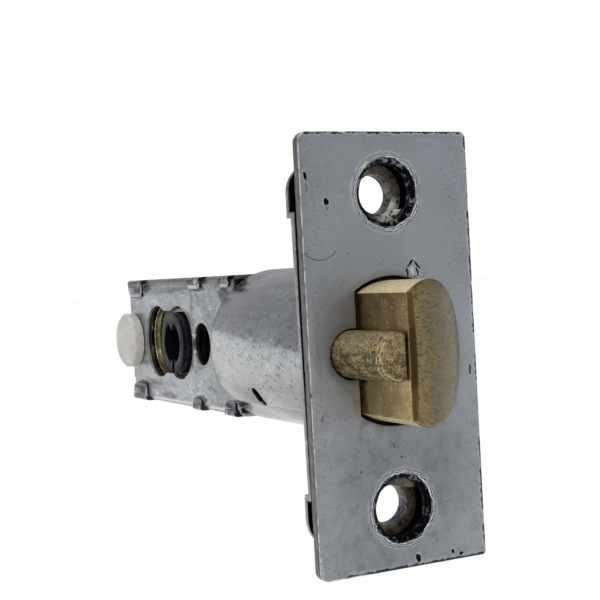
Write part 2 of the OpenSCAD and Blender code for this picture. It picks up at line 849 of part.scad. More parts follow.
module hub() {
    color(black) difference() {
        union() {
            along_x(-hub_x + 0.7, hub_x - 0.7) translate([backset, 0]) circle(hub_r);
            along_x(-hub_x, hub_x) translate([backset, 0]) circle(hub_r - 0.2);
            along_x(-wing_t / 2, wing_t / 2) translate([backset, 0]) {
                rotate(wing_rest) wing();
                mirror([0, 1]) rotate(wing_rest) wing();
            }
        }
        along_x(-hub_x - cut, hub_x + cut) translate([backset, 0]) difference() {
            circle(d = spindle_hole_d);
            nib();
            rotate(180) nib();
        }
        for (s = [-1, 1])
            translate([s > 0 ? wing_t / 2 + 0.2 : -hub_x - cut, backset - slit_w / 2, -hub_r - cut])
            cube([hub_x - wing_t / 2 - 0.2 + cut, slit_w, hub_r + cut - spindle_hole_d / 2 + nib_h]);
    }
}

faceplate();
back_plate();
housing_tube();
spring_seat();
deadlock_leaf();
case_shell();
case_back();
near_guide_plate();
far_guide_plate();
detent_spring();
detent_rivet();
latch_bolt();
latch_tail();
bolt_pin();
tail_pin();
latch_spring();
guard_bolt();
guard_spring();
near_carriage_plate();
far_carriage_plate();
upper_carriage_post();
lower_carriage_post();
backset_button();
near_yoke_plate();
far_yoke_plate();
upper_strap_rivet();
lower_strap_rivet();
upper_bridge_rivet();
lower_bridge_rivet();
backset_catch();
catch_rivet();
hub();
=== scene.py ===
"""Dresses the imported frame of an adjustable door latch.

Sizes are in millimetres in the row frame: X across the door's edge, Y into the
door and Z up, from the centre of the faceplate's front. Meshes are written in metres.
"""

import logging
import math
import random
from dataclasses import dataclass
from enum import Enum
from typing import Any, Callable, Sequence

import bmesh
import bpy
from mathutils import Euler, Matrix, Vector, geometry, noise


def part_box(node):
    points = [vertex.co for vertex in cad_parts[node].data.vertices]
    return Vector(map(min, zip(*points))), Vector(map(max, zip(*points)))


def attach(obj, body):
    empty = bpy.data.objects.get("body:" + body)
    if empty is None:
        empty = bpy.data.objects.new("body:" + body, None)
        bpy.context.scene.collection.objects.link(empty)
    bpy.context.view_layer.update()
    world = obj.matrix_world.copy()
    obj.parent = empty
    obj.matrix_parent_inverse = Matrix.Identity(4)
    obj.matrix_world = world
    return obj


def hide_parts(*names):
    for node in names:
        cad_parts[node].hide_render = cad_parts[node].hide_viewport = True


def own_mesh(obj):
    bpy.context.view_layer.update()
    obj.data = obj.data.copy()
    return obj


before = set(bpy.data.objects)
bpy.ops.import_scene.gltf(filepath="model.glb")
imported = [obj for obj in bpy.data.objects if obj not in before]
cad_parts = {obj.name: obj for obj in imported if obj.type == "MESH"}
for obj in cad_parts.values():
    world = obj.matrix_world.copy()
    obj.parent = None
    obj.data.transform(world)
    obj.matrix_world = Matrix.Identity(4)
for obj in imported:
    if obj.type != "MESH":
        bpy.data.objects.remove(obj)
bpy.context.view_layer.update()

log = logging.getLogger("door_latch")
MM = 0.001
Point = tuple[float, float]
Triple = tuple[float, float, float]
Ring = list[bmesh.types.BMVert]
Solid = bmesh.types.BMesh
Piece = bpy.types.Object
Material = bpy.types.Material
Tree = bpy.types.NodeTree
Groups = dict[str, Tree]
ACROSS_X: Triple = (0.0, 1.0, 1.0)
ACROSS_Y: Triple = (1.0, 0.0, 1.0)
ZEROS: Triple = (0.0, 0.0, 0.0)
HALVES: Triple = (0.5, 0.5, 0.5)
ONES: Triple = (1.0, 1.0, 1.0)
MARK_DEPTH = 9.0


class Body(Enum):
    """The bodies of the frame that pieces ride on."""

    CASE = "case"
    LATCH = "latch"
    GUARD = "guard"
    CARRIAGE = "carriage"
    YOKE = "yoke"
    HUB = "hub"


# Shader tools


def operator(what: str, swapped: bool = False) -> Callable[["Value", Any], "Value"]:
    """Returns the method that joins a value and another one by a Math node."""

    def join(self: "Value", other: Any) -> "Value":
        """Adds the node and returns its result."""
        return self.graph.math(what, other, self) if swapped else self.graph.math(what, self, other)

    return join


class Value:
    """A shader node's result, which takes part in ordinary sums; a | b is the greater of two."""

    __add__, __radd__ = operator("ADD"), operator("ADD", True)
    __sub__, __rsub__ = operator("SUBTRACT"), operator("SUBTRACT", True)
    __mul__, __truediv__ = operator("MULTIPLY"), operator("DIVIDE")
    __pow__, __or__, __lt__ = operator("POWER"), operator("MAXIMUM"), operator("LESS_THAN")

    def __init__(self, graph: "Graph", socket: bpy.types.NodeSocket) -> None:
        """Keeps the graph and the output socket that it stands for."""
        self.graph, self.socket = graph, socket

    def __abs__(self) -> "Value":
        """Returns the value without its sign."""
        return self.graph.math("ABSOLUTE", self)

    def fit(self, low: Any, high: Any, to_low: float = 0.0, to_high: float = 1.0) -> "Value":
        """Maps the value smoothly from one range to another, held at its ends."""
        sockets = {0: self, 1: low, 2: high, 3: to_low, 4: to_high}
        return self.graph.node("MapRange", sockets, interpolation_type="SMOOTHSTEP")[0]


class Made:
    """A node that was added, whose results are read by name or number."""

    def __init__(self, graph: "Graph", node: bpy.types.Node) -> None:
        """Keeps the graph and the node."""
        self.graph, self.node = graph, node

    def __getitem__(self, key: Any) -> Value:
        """Returns one of the node's results."""
        return Value(self.graph, self.node.outputs[key])

    def set(self, key: Any, value: Any) -> None:
        """Gives an input a constant or links a value to it."""
        socket = self.node.inputs[key]
        if isinstance(value, Value):
            self.graph.tree.links.new(value.socket, socket)
        elif socket.type == "RGBA" and len(value) == 3:
            socket.default_value = (*value, 1.0)
        else:
            socket.default_value = value


class Graph:
    """Adds nodes to one shader tree and joins them."""

    def __init__(self, tree: Tree, groups: Groups | None = None) -> None:
        """Keeps the tree that is filled and the shared groups that it may use."""
        self.tree, self.groups = tree, groups or {}

    def node(self, kind: str, sockets: dict[Any, Any] | None = None, **props: Any) -> Made:
        """Adds a node.

        Args:
            kind: the node's type, without its ShaderNode prefix.
            sockets: a constant or a value for each input, by name or number.
            **props: the node's own settings.

        Returns:
            The new node.
        """
        made = Made(self, self.tree.nodes.new("ShaderNode" + kind))
        for key, value in props.items():
            setattr(made.node, key, value)
        for key, value in (sockets or {}).items():
            made.set(key, value)
        return made

    def group(self, name: str, *values: Any, **named: Any) -> Made:
        """Places a shared group, with its inputs in their order or by name."""
        made = self.node("Group", node_tree=self.groups[name])
        for key, value in [*enumerate(values), *named.items()]:
            made.set(key if isinstance(key, int) else key.capitalize(), value)
        return made

    def math(self, what: str, *values: Any, clamp: bool = False) -> Value:
        """Adds a Math node and returns its result."""
        return self.node("Math", dict(enumerate(values)), operation=what, use_clamp=clamp)[0]

    def vector(self, what: str, *values: Any) -> Value:
        """Adds a Vector Math node and returns its vector."""
        return self.node("VectorMath", dict(enumerate(values)), operation=what)[0]

    def number(self, what: str, *values: Any) -> Value:
        """Adds a Vector Math node and returns its number."""
        return self.node("VectorMath", dict(enumerate(values)), operation=what)["Value"]

    def mix(self, share: Any, first: Any, second: Any) -> Value:
        """Mixes two colours and returns the result."""
        return self.node("Mix", {0: share, 6: first, 7: second}, data_type="RGBA", clamp_factor=True)[2]

    def noise(self, scale: Any, detail: Any, place: Any = None, four: Any = None, **more: float) -> Made:
        """Adds a noise texture at a point, in four dimensions where a fourth value is given."""
        sockets = {"Vector": place or self.place(), "Scale": scale, "Detail": detail, **more}
        if four is None:
            return self.node("TexNoise", sockets)
        return self.node("TexNoise", {**sockets, "W": four}, noise_dimensions="4D")

    def cells(self, given: Made, place: Value) -> Made:
        """Adds a cell texture with a group's scale and seed."""
        sockets = {"Vector": place, "W": given["Seed"], "Scale": given["Scale"]}
        return self.node("TexVoronoi", sockets, voronoi_dimensions="4D")

    def place(self) -> Value:
        """Returns the point of the surface in millimetres, at rest."""
        raw = self.node("TexCoord")["Object"]
        return self.node("VectorMath", {0: raw, "Scale": 1.0 / MM}, operation="SCALE")[0]

    def spot(self) -> tuple[Value, Value, Value]:
        """Returns the point's X, Y and Z."""
        parts = self.node("SeparateXYZ", {0: self.place()})
        return parts[0], parts[1], parts[2]

    def facing(self) -> tuple[Value, Value, Value]:
        """Returns the X, Y and Z of the direction in which the surface faces."""
        parts = self.node("SeparateXYZ", {0: self.node("TexCoord")["Normal"]})
        return parts[0], parts[1], parts[2]

    def radius(self, **parts: Any) -> Value:
        """Returns how far a point is from an axis, from its X, Y or Z across that axis."""
        return self.number("LENGTH", self.node("CombineXYZ", parts)[0])

    def cloud(self, *values: Any, **named: Any) -> Value:
        """Places soft mottling: scale, detail, low, high, seed and stretch."""
        return self.group("cloud", *values, **named)[0]

    def specks(self, *values: Any, **named: Any) -> Value:
        """Places round specks: scale, share, size, seed and stretch."""
        return self.group("specks", *values, **named)[0]

    def grain(self, *values: Any, **named: Any) -> Value:
        """Places drawn streaks: waves, turn, detail, low, high and seed."""
        return self.group("grain", *values, **named)[0]

    def strokes(self, *values: Any, **named: Any) -> Value:
        """Places short scratches: scale, length, width, share, flat and seed."""
        return self.group("strokes", *values, **named)[0]

    def edge(self, *values: Any) -> Value:
        """Places wear and painted highlights on marked edges: amount and scale."""
        return self.group("edge", *values)[0]


class Effects:
    """The shader node groups that the finishes share, each built once."""

    def __init__(self) -> None:
        """Builds every group."""
        self.groups = {
            "cloud": self.cloud(), "specks": self.specks(), "grain": self.grain(), "spangle": self.spangle(),
            "mark": self.mark(), "strokes": self.strokes(), "arc": self.arc(), "edge": self.edge(),
        }

    @staticmethod
    def start(name: str, inputs: dict[str, Any], *outputs: str) -> tuple[Graph, Made, Made]:
        """Makes an empty group.

        Args:
            name: the group's name.
            inputs: each input's name and its default, a number or a vector.
            *outputs: each output's name.

        Returns:
            The group's graph, its input node and its output node.
        """
        tree = bpy.data.node_groups.new(name, "ShaderNodeTree")
        for label, value in inputs.items():
            kind = "NodeSocketVector" if isinstance(value, tuple) else "NodeSocketFloat"
            socket = tree.interface.new_socket(name=label, in_out="INPUT", socket_type=kind)
            socket.default_value = value
        for label in outputs:
            tree.interface.new_socket(name=label, in_out="OUTPUT", socket_type="NodeSocketFloat")
        g = Graph(tree)
        return g, Made(g, tree.nodes.new("NodeGroupInput")), Made(g, tree.nodes.new("NodeGroupOutput"))

    def cloud(self) -> Tree:
        """Soft mottling, from 0 to 1."""
        inputs = {"Scale": 0.5, "Detail": 3.0, "Low": 0.35, "High": 0.65, "Seed": 0.0, "Stretch": ONES}
        g, given, out = self.start("soft_mottle", inputs, "Value")
        place = g.vector("MULTIPLY", g.place(), given["Stretch"])
        raw = g.noise(given["Scale"], given["Detail"], place, four=given["Seed"])[0]
        out.set("Value", raw.fit(given["Low"], given["High"]))
        return g.tree

    def specks(self) -> Tree:
        """Scattered round specks: 1 inside a speck."""
        inputs = {"Scale": 1.0, "Share": 0.3, "Size": 0.25, "Seed": 0.0, "Stretch": ONES}
        g, given, out = self.start("scattered_specks", inputs, "Mask")
        place = g.vector("MULTIPLY", g.place(), given["Stretch"])
        wobble = g.noise(3.1, 2.0, place)["Color"]
        cell = g.cells(given, g.vector("ADD", place, g.vector("MULTIPLY", wobble, (0.35, 0.35, 0.35))))
        parts = g.node("SeparateColor", {0: cell["Color"]})
        radius = given["Size"] * (parts[1] * 0.8 + 0.25)
        inside = (cell["Distance"] / radius).fit(1.0, 0.6)
        out.set("Mask", inside * (parts[0] < given["Share"]))
        return g.tree

    def grain(self) -> Tree:
        """Drawn-out streaks: the frequency is given for each direction, in waves per millimetre."""
        inputs = {"Waves": (0.2, 0.2, 5.0), "Turn": ZEROS, "Detail": 3.0, "Low": 0.3, "High": 0.7}
        g, given, out = self.start("drawn_grain", {**inputs, "Seed": 0.0}, "Value")
        sockets = {"Vector": g.place(), "Rotation": given["Turn"]}
        turned = g.node("VectorRotate", sockets, rotation_type="EULER_XYZ")[0]
        drawn = g.vector("MULTIPLY", turned, given["Waves"])
        raw = g.noise(1.0, given["Detail"], drawn, four=given["Seed"])[0]
        out.set("Value", raw.fit(given["Low"], given["High"]))
        return g.tree

    def spangle(self) -> Tree:
        """Crystals of a zinc coat: a level for each crystal."""
        inputs = {"Scale": 0.8, "Seed": 0.0, "Stretch": ONES}
        g, given, out = self.start("zinc_spangle", inputs, "Level")
        place = g.vector("MULTIPLY", g.place(), given["Stretch"])
        wobble = g.noise(0.9, 3.0, place)["Color"]
        shifted = g.vector("ADD", place, g.vector("MULTIPLY", wobble, (1.6, 1.6, 1.6)))
        out.set("Level", g.node("SeparateColor", {0: g.cells(given, shifted)["Color"]})[0])
        return g.tree

    def mark(self) -> Tree:
        """One oval mark with a ragged rim: 1 inside. Through the face its size is left large."""
        inputs = {"X": 0.0, "Y": 0.0, "Z": 0.0, "Half x": 1.0, "Half y": 1.0, "Half z": 1.0}
        g, given, out = self.start("single_mark", {**inputs, "Turn": 0.0, "Ragged": 0.3}, "Mask", "Rim")
        shake = g.vector("MULTIPLY", g.vector("SUBTRACT", g.noise(1.8, 3.0)["Color"], HALVES), HALVES)
        here = g.node("SeparateXYZ", {0: g.vector("ADD", g.place(), shake)})
        x, y, z = (here[i] - given["XYZ"[i]] for i in range(3))
        cosine, sine = g.math("COSINE", given["Turn"]), g.math("SINE", given["Turn"])
        reach = 0.0
        along, across = x * cosine + z * sine, z * cosine - x * sine
        for value, half in ((along, given["Half x"]), (y, given["Half y"]), (across, given["Half z"])):
            reach = reach + abs(value / half) ** 2.0
        reach = g.math("SQRT", reach)
        reach = reach + (g.noise(2.6, 3.0)[0] - 0.5) * given["Ragged"]
        out.set("Mask", reach.fit(1.0, 0.8))
        out.set("Rim", reach.fit(1.5, 1.1) * reach.fit(0.8, 1.0))
        return g.tree

    def strokes(self) -> Tree:
        """Short straight scratches that lie every way on a face; Flat is 0 across the face."""
        inputs = {"Scale": 0.5, "Length": 0.6, "Width": 0.05, "Share": 0.5, "Flat": ACROSS_Y, "Seed": 0.0}
        g, given, out = self.start("short_scratches", inputs, "Mask")
        cell = g.cells(given, g.place())
        away = g.vector("MULTIPLY", g.vector("SUBTRACT", g.place(), cell["Position"]), given["Flat"])
        spread = g.vector("SUBTRACT", cell["Color"], HALVES)
        line = g.vector("NORMALIZE", g.vector("MULTIPLY", spread, given["Flat"]))
        along = g.number("DOT_PRODUCT", away, line)
        foot = g.node("VectorMath", {0: line, "Scale": along}, operation="SCALE")[0]
        across = g.number("LENGTH", g.vector("SUBTRACT", away, foot))
        inside = (abs(along) / given["Length"]).fit(1.0, 0.5)
        thin = (across / given["Width"]).fit(1.0, 0.3)
        chosen = g.node("SeparateColor", {0: cell["Color"]})[1] < given["Share"]
        out.set("Mask", inside * thin * chosen)
        return g.tree

    def arc(self) -> Tree:
        """One curved scratch on a face that looks along Y; Spread is the cosine of half its angle."""
        inputs = {"Centre": ZEROS, "Middle": (0.0, 0.0, 1.0), "Reach": 3.0, "Spread": 0.6, "Width": 0.08}
        g, given, out = self.start("curved_scratch", inputs, "Mask")
        away = g.vector("MULTIPLY", g.vector("SUBTRACT", g.place(), given["Centre"]), ACROSS_Y)
        off = abs(g.number("LENGTH", away) - given["Reach"])
        facing = g.number("DOT_PRODUCT", g.vector("NORMALIZE", away), given["Middle"])
        thin = (off / given["Width"]).fit(1.0, 0.3)
        out.set("Mask", thin * (facing - given["Spread"]).fit(0.0, 0.06))
        return g.tree

    def edge(self) -> Tree:
        """Wear and painted highlights along the rounded edges that a mesh marks in its edge attribute."""
        g, given, out = self.start("edge_wear_and_highlight", {"Amount": 1.0, "Scale": 1.2}, "Mask")
        marked = g.node("Attribute", attribute_name="edge")["Fac"]
        worn = marked * g.noise(given["Scale"], 3.0)[0].fit(0.35, 0.6)
        out.set("Mask", g.math("MULTIPLY", worn, given["Amount"], clamp=True))
        return g.tree


# Finishes


class Coat:
    """A material as it is built up: its shader, and the colour, roughness and height so far."""

    def __init__(self, g: Graph, shader: Made) -> None:
        """Starts an empty coat."""
        self.g, self.shader = g, shader
        self.colour: Any = None
        self.rough: Any = None
        self.height: Any = None

    def tint(self, share: Any, shade: Any) -> None:
        """Lays a colour over the present one by a share from 0 to 1."""
        self.colour = self.g.mix(share, self.colour, shade)

    def join(self, depth: float) -> None:
        """Links the colour, the roughness and the height in millimetres times depth to the shader."""
        bump = self.g.node("Bump", {"Height": self.height, "Distance": depth * MM, "Strength": 1.0})
        for name, value in (("Base Color", self.colour), ("Roughness", self.rough), ("Normal", bump[0])):
            self.shader.set(name, value)


def fresh_graph(owner: Any, groups: Groups | None = None) -> Graph:
    """Empties the node tree of a material or a world and returns its graph."""
    owner.use_nodes = True
    owner.node_tree.nodes.clear()
    return Graph(owner.node_tree, groups)


@dataclass(frozen=True)
class Finish:
    """A finish: its colour, and how it is built into a material."""

    name: str = "finish"
    slot: str = "spring_steel"
    colour: Triple = (0.3, 0.3, 0.3)
    rough: float = 0.4
    metal: float = 1.0

    def material(self, groups: Groups) -> Material:
        """Builds the finish's material with the shared node groups."""
        made = bpy.data.materials.new(self.name)
        g = fresh_graph(made, groups)
        shader = g.node("BsdfPrincipled", {"Metallic": self.metal, "Roughness": self.rough})
        g.node("OutputMaterial", {"Surface": shader[0]})
        made.diffuse_color = (*self.colour, 1.0)
        self.dress(Coat(g, shader))
        return made

    def dress(self, coat: Coat) -> None:
        """Gives the coat the finish's colour, roughness and relief."""
        raise NotImplementedError

    def shades(self, g: Graph, level: Any, low: float, high: float) -> Value:
        """Returns the colour, made darker or lighter between two factors."""
        dark, light = (tuple(min(c * factor, 1.0) for c in self.colour) for factor in (low, high))
        return g.mix(level, dark, light)


@dataclass(frozen=True)
class Mark:
    """A dent, chip, scuff, stain or painted shadow on a face, placed by its centre and its half sizes along
    X, Y and Z.
    """

    at: tuple[float, ...]
    half: tuple[float, ...]
    turn: float = 0.0
    dark: float = 1.0
    ragged: float = 0.5

    def draw(self, coat: Coat) -> None:
        """Adds the mark to a coat's colour and height; one with dark below 0 is pale with a dark rim."""
        mask = coat.g.group("mark", *self.at, *self.half, self.turn, self.ragged)
        inner, rim = (0.006, 0.006, 0.008), (0.55, 0.57, 0.6)
        if self.dark < 0:
            inner, rim = (0.6, 0.62, 0.65), (0.05, 0.05, 0.055)
        coat.tint(mask[1] * (0.4 * abs(self.dark)), rim)
        coat.tint(mask[0] * abs(self.dark), inner)
        coat.height = coat.height + mask[0] * (-2.0 * self.dark) + mask[1] * (0.7 * self.dark)


def marks_on(axis: int, place: float, *rows: tuple[float, ...]) -> tuple[Mark, ...]:
    """Makes the marks of one face.

    Args:
        axis: the direction that the face looks along, 0 for X and 1 for Y.
        place: the face's place along it.
        *rows: each mark's centre and half sizes in the other two directions, turn, dark and ragged.

    Returns:
        The marks.
    """
    made = []
    for first, second, half_first, half_second, *rest in rows:
        at, half = [first, second], [half_first, half_second]
        at.insert(axis, place)
        half.insert(axis, MARK_DEPTH)
        made.append(Mark(tuple(at), tuple(half), *rest))
    return tuple(made)


@dataclass(frozen=True)
class WornPlate(Finish):
    """Plated sheet that is worn to a soft grey, with specks, dents and scratches."""

    name: str = "worn_plate"
    slot: str = "plated_steel"
    colour: Triple = (0.246, 0.261, 0.285)
    rough: float = 0.44
    metal: float = 0.6
    half: Point = (12.7, 28.575)
    screw_z: float = 20.65
    marks: tuple[Mark, ...] = ()
    rings: tuple[tuple[float, float, Triple, float], ...] = (
        (4.5, 0.16, (0.01, 0.01, 0.013), 1.0), (4.68, 0.12, (0.74, 0.76, 0.8), 0.95),
        (4.81, 0.09, (0.012, 0.012, 0.016), 0.95), (4.93, 0.1, (0.62, 0.64, 0.68), 0.85),
        (5.05, 0.08, (0.03, 0.03, 0.035), 0.6), (5.32, 0.22, (0.42, 0.44, 0.47), 0.4),
    )

    def dress(self, coat: Coat) -> None:
        """Gives the coat the worn plate's colour, roughness and relief."""
        g = coat.g
        x, _, z = g.spot()
        low = z.fit(6.0, -12.0)
        broad = g.cloud(0.13, 2.0, 0.3, 0.7)
        fine = g.cloud(0.9, 6.0, 0.3, 0.7, seed=2.0)
        grit = g.cloud(5.0, 3.0, 0.3, 0.7, seed=6.0)
        coat.colour = self.shades(g, broad * 0.35 + fine * 0.4 + grit * 0.25, 0.84, 1.16)
        blot = g.cloud(0.6, 6.0, 0.48, 0.62, seed=12.0)
        coat.tint(blot * low * 0.42, (0.14, 0.145, 0.15))
        coat.height = (fine + grit * 0.3) * 0.5
        streak = g.grain((0.16, 0.1, 0.3), turn=(0.0, 0.7, 0.0), detail=5.0, low=0.42, high=0.62)
        coat.tint(streak * low * 0.16, (0.4, 0.415, 0.44))
        # Painted shade: darker in a band below the bolt opening.
        painted_shade_below = z.fit(-22.0, -17.0) * z.fit(-9.0, -13.0)
        coat.tint(painted_shade_below * 0.25, (0.11, 0.113, 0.118))
        # Painted light: lighter towards both long edges in the middle and lower part.
        pale = abs(x).fit(6.0, 11.5) * z.fit(12.0, 2.0)
        coat.tint(pale * 0.24, (0.46, 0.48, 0.51))
        self.draw_rims(coat)
        self.chip_edges(coat, x, z)
        for mark in self.marks:
            mark.draw(coat)
        scratch = g.group("arc", (-10.3, 0.0, 15.25), (0.0, 0.0, -1.0), 3.0, 0.62, 0.1)[0]
        coat.tint(scratch * 0.8, (0.04, 0.04, 0.045))
        light = g.strokes(0.22, 1.6, 0.07, 0.3, seed=5.0)
        coat.tint(light * 0.16, (0.5, 0.52, 0.55))
        dirt = g.specks(0.8, 0.35, 0.13)
        dirt = dirt | g.specks(1.5, 0.5, 0.17, seed=3.0) * (low * 0.85 + 0.15)
        pits = g.specks(2.6, 0.4, 0.14, seed=9.0)
        rubbed = low * 0.6 | abs(x).fit(7.0, 11.5)
        dirt = dirt | pits * rubbed
        hair = g.strokes(0.3, 0.7, 0.06, 0.22, seed=1.0)
        hair = (hair | g.strokes(1.4, 0.2, 0.06, 0.5, seed=2.0) * rubbed) * 0.6
        coat.tint(dirt * 0.85 | hair, (0.03, 0.03, 0.034))
        coat.height += (dirt | hair) * -0.8
        # The light left edge is partly wear and partly a painted highlight.
        coat.tint(g.edge(1.0, 0.9) * x.fit(-5.0, -6.0) * 0.85, (0.72, 0.72, 0.72))
        self.dull_sides(coat)
        coat.rough = fine * 0.14 + (self.rough - 0.07) + dirt * 0.3
        bright = g.node("RGBToBW", {0: coat.colour})[0]
        coat.shader.set("Metallic", bright.fit(0.12, 0.02, self.metal, 1.0))
        coat.join(0.02)

    def draw_rims(self, coat: Coat) -> None:
        """Adds the scuffed, burred rings around the screw holes and the painted shade inside them, with paler
        flecks as painted glints.
        """
        g = coat.g
        x, y, z = g.spot()
        rise = abs(z) - self.screw_z
        away = g.math("SQRT", x * x + rise * rise)
        reach = away + (g.noise(0.75, 6.0, Roughness=0.62)[0] - 0.5) * 1.1
        for r, width, shade, share in self.rings:
            ring = abs(reach - r).fit(width, 0.3 * width)
            ring = ring * share * g.cloud(0.5, 5.0, 0.4, 0.52, seed=3.0 * r)
            coat.tint(ring, shade)
            coat.height += ring * (3.0 * (shade[0] - 0.25))
        # Painted shade: the countersinks' walls are painted nearly black, with paler flecks as painted
        # glints.
        wall = away.fit(4.54, 4.4) * y.fit(0.07, 0.14)
        pale_flecks = g.cloud(1.3, 8.0, 0.55, 0.63, seed=3.5)
        coat.tint(wall, g.mix(pale_flecks, (0.004, 0.004, 0.006), (0.14, 0.15, 0.18)))

    def chip_edges(self, coat: Coat, x: Value, z: Value) -> None:
        """Darkens ragged lines along the top, right and bottom edges, with a light line beside them: chips at
        the top and right, painted shade along the bottom.
        """
        g = coat.g
        rag = g.noise(1.5, 5.0)[0]
        patch = g.noise(0.35, 2.0)[0]
        offset = (rag - 0.5) * 0.9
        gap = g.noise(0.7, 4.0)[0].fit(0.42, 0.58, 0.0, 0.22)
        top = self.half[1] - z + gap
        right = self.half[0] - x + patch.fit(0.5, 0.38, 0.0, 0.5)
        # The bottom's dark line is painted shade.
        under = z + self.half[1] + x.fit(-8.6, -9.6, 0.0, 0.5)
        for away, reach in ((top, 0.36), (right, 0.34), (under, 0.42)):
            near = away + offset
            line = near.fit(reach + 0.35, reach + 0.1) * near.fit(reach - 0.1, reach + 0.1)
            coat.tint(line * 0.35, (0.5, 0.52, 0.55))
            coat.tint(near.fit(reach, 0.7 * reach) * 0.9, (0.02, 0.02, 0.024))

    def dull_sides(self, coat: Coat) -> None:
        """Turns the sheared side faces a dull grey brown."""
        g = coat.g
        side = abs(g.facing()[0]).fit(0.75, 0.95)
        outer = abs(g.spot()[0]).fit(11.8, 12.2)
        shear = g.noise(1.0, 4.0, g.vector("MULTIPLY", g.place(), (1.0, 6.0, 0.7)))[0]
        brown = g.mix(shear.fit(0.35, 0.65), (0.08, 0.074, 0.07), (0.19, 0.18, 0.17))
        coat.tint(side * outer, brown)


@dataclass(frozen=True)
class ZincSheet(Finish):
    """Galvanised sheet with spangle, small pits and a little dirt."""

    name: str = "zinc_sheet"
    slot: str = "galvanised_steel"
    colour: Triple = (0.4, 0.415, 0.435)
    rough: float = 0.36
    spangle: float = 0.8
    speck_scale: float = 1.1
    speck_share: float = 0.4
    relief: float = 0.03
    wave: float = 1.4
    span: Point = (0.62, 1.36)
    speck_size: float = 0.17
    glint: float = 0.3
    stretch: Triple = (1.0, 0.5, 1.0)

    def dress(self, coat: Coat) -> None:
        """Gives the coat the zinc's colour, roughness and relief."""
        g, long = coat.g, self.stretch
        cell = g.group("spangle", self.spangle, stretch=long)[0]
        broad = g.cloud(0.22, 4.0, 0.3, 0.7, seed=1.0, stretch=long)
        fine = g.cloud(1.7, 6.0, 0.3, 0.7, seed=5.0, stretch=long)
        coat.colour = self.shades(g, cell * 0.28 + broad * 0.3 + fine * 0.42, *self.span)
        blot = g.cloud(0.9, 5.0, 0.55, 0.68, seed=11.0, stretch=long)
        coat.tint(blot * 0.45, (0.12, 0.122, 0.125))
        bright = g.cloud(0.8, 6.0, 0.58, 0.68, seed=14.0, stretch=long)
        coat.tint(bright * 0.45, (0.78, 0.8, 0.83))
        specks = g.specks(self.speck_scale, self.speck_share, self.speck_size, seed=7.0, stretch=long)
        hair = g.strokes(0.6, 0.7, 0.07, 0.6, ACROSS_X, 3.0)
        # Painted glints: short light strokes.
        glint = g.strokes(0.5, 0.9, 0.07, 0.6, ACROSS_X, 8.0)
        coat.tint(glint * self.glint, (0.85, 0.86, 0.88))
        dark = specks * 0.85 | hair * 0.55
        coat.tint(dark, (0.03, 0.03, 0.035))
        # The light, less metallic edges are partly wear and partly painted highlights.
        worn = g.edge(0.9)
        coat.tint(worn * 0.75, (0.8, 0.81, 0.83))
        coat.rough = (cell + fine) * 0.1 + (self.rough - 0.1)
        coat.height = fine * 0.6 + broad * self.wave + dark * -0.9 + cell * 0.2
        self.local(coat)
        coat.shader.set("Metallic", self.metal - worn * 0.6)
        coat.join(self.relief)

    def local(self, coat: Coat) -> None:
        """Adds what only one piece shows: nothing on plain sheet."""


@dataclass(frozen=True)
class TubeZinc(ZincSheet):
    """The tube's zinc, with painted shade on a line round its rear rim and on all its inner faces, its slots
    too, and painted light and shade along its round side.
    """

    name: str = "zinc_tube"
    spangle: float = 0.45
    speck_scale: float = 2.0
    speck_share: float = 0.7
    speck_size: float = 0.2
    glint: float = 0.1
    rough: float = 0.19
    relief: float = 0.01
    wave: float = 0.2
    span: Point = (0.68, 1.3)
    rear: float = 34.2
    outer_r: float = 11.6

    def local(self, coat: Coat) -> None:
        """Adds the painted light and shade along the round side, dark specks that are thicker low down, and
        the painted shade on the rim's line and on all that lies inside the tube's skin.
        """
        g = coat.g
        _, y, z = g.spot()
        rim = y.fit(self.rear - 0.3, self.rear - 0.12)
        away = g.number("LENGTH", g.vector("MULTIPLY", g.place(), ACROSS_Y))
        inner = away.fit(self.outer_r - 0.12, self.outer_r - 0.3)
        # Painted light and shade on the round side: lighter just below the middle, darker towards the bottom.
        coat.tint(z.fit(1.0, -2.0) * 0.35, (0.46, 0.465, 0.44))
        coat.tint(z.fit(-1.0, -8.5) * 0.8, (0.2, 0.202, 0.2))
        soot_and_shade = g.specks(1.9, 0.62, 0.42, seed=12.0)
        dash = g.strokes(0.9, 0.5, 0.1, 0.35, ACROSS_X, 13.0)
        coat.tint((soot_and_shade | dash) * z.fit(4.0, -1.0, 0.1, 0.9), (0.02, 0.02, 0.022))
        # Painted shade: darker towards the top.
        coat.tint(z.fit(2.0, 7.0) * 0.4, (0.26, 0.27, 0.285))
        # Painted shade: a dark line round the rear rim, and all that lies inside the tube's skin nearly
        # black.
        coat.tint((rim | inner) * 0.92, (0.012, 0.012, 0.014))


@dataclass(frozen=True)
class CaseZinc(ZincSheet):
    """The case's zinc, with painted shade towards the inside of its cut edges and painted shadows and
    staining round its claws.
    """

    name: str = "zinc_case"
    metal: float = 0.85
    face_x: float = 6.35
    marks: tuple[Mark, ...] = ()

    def local(self, coat: Coat) -> None:
        """Adds the painted shadows and staining round the claws, the pale cut edge, and the painted shade on
        the top bend and on the inner half of the sheet.
        """
        # The marks are painted shadows round the claws, with some staining.
        for mark in self.marks:
            mark.draw(coat)
        x, _, z = coat.g.spot()
        depth = abs(x)
        fold = abs(z).fit(10.6, 10.3)
        # The pale outer part of the cut edge is partly the bare edge's own colour and partly a painted
        # highlight.
        cut = depth.fit(self.face_x - 0.03, self.face_x - 0.1) * 0.8
        coat.tint(cut * fold, (0.78, 0.75, 0.64))
        # Painted shade on the top bend.
        coat.tint(z.fit(9.7, 10.3) * 0.6, (0.12, 0.122, 0.128))
        # Painted shade on the inner half of the cut edge.
        inner = depth.fit(self.face_x - 0.22, self.face_x - 0.38)
        coat.tint(inner * fold * 0.93, (0.012, 0.012, 0.014))


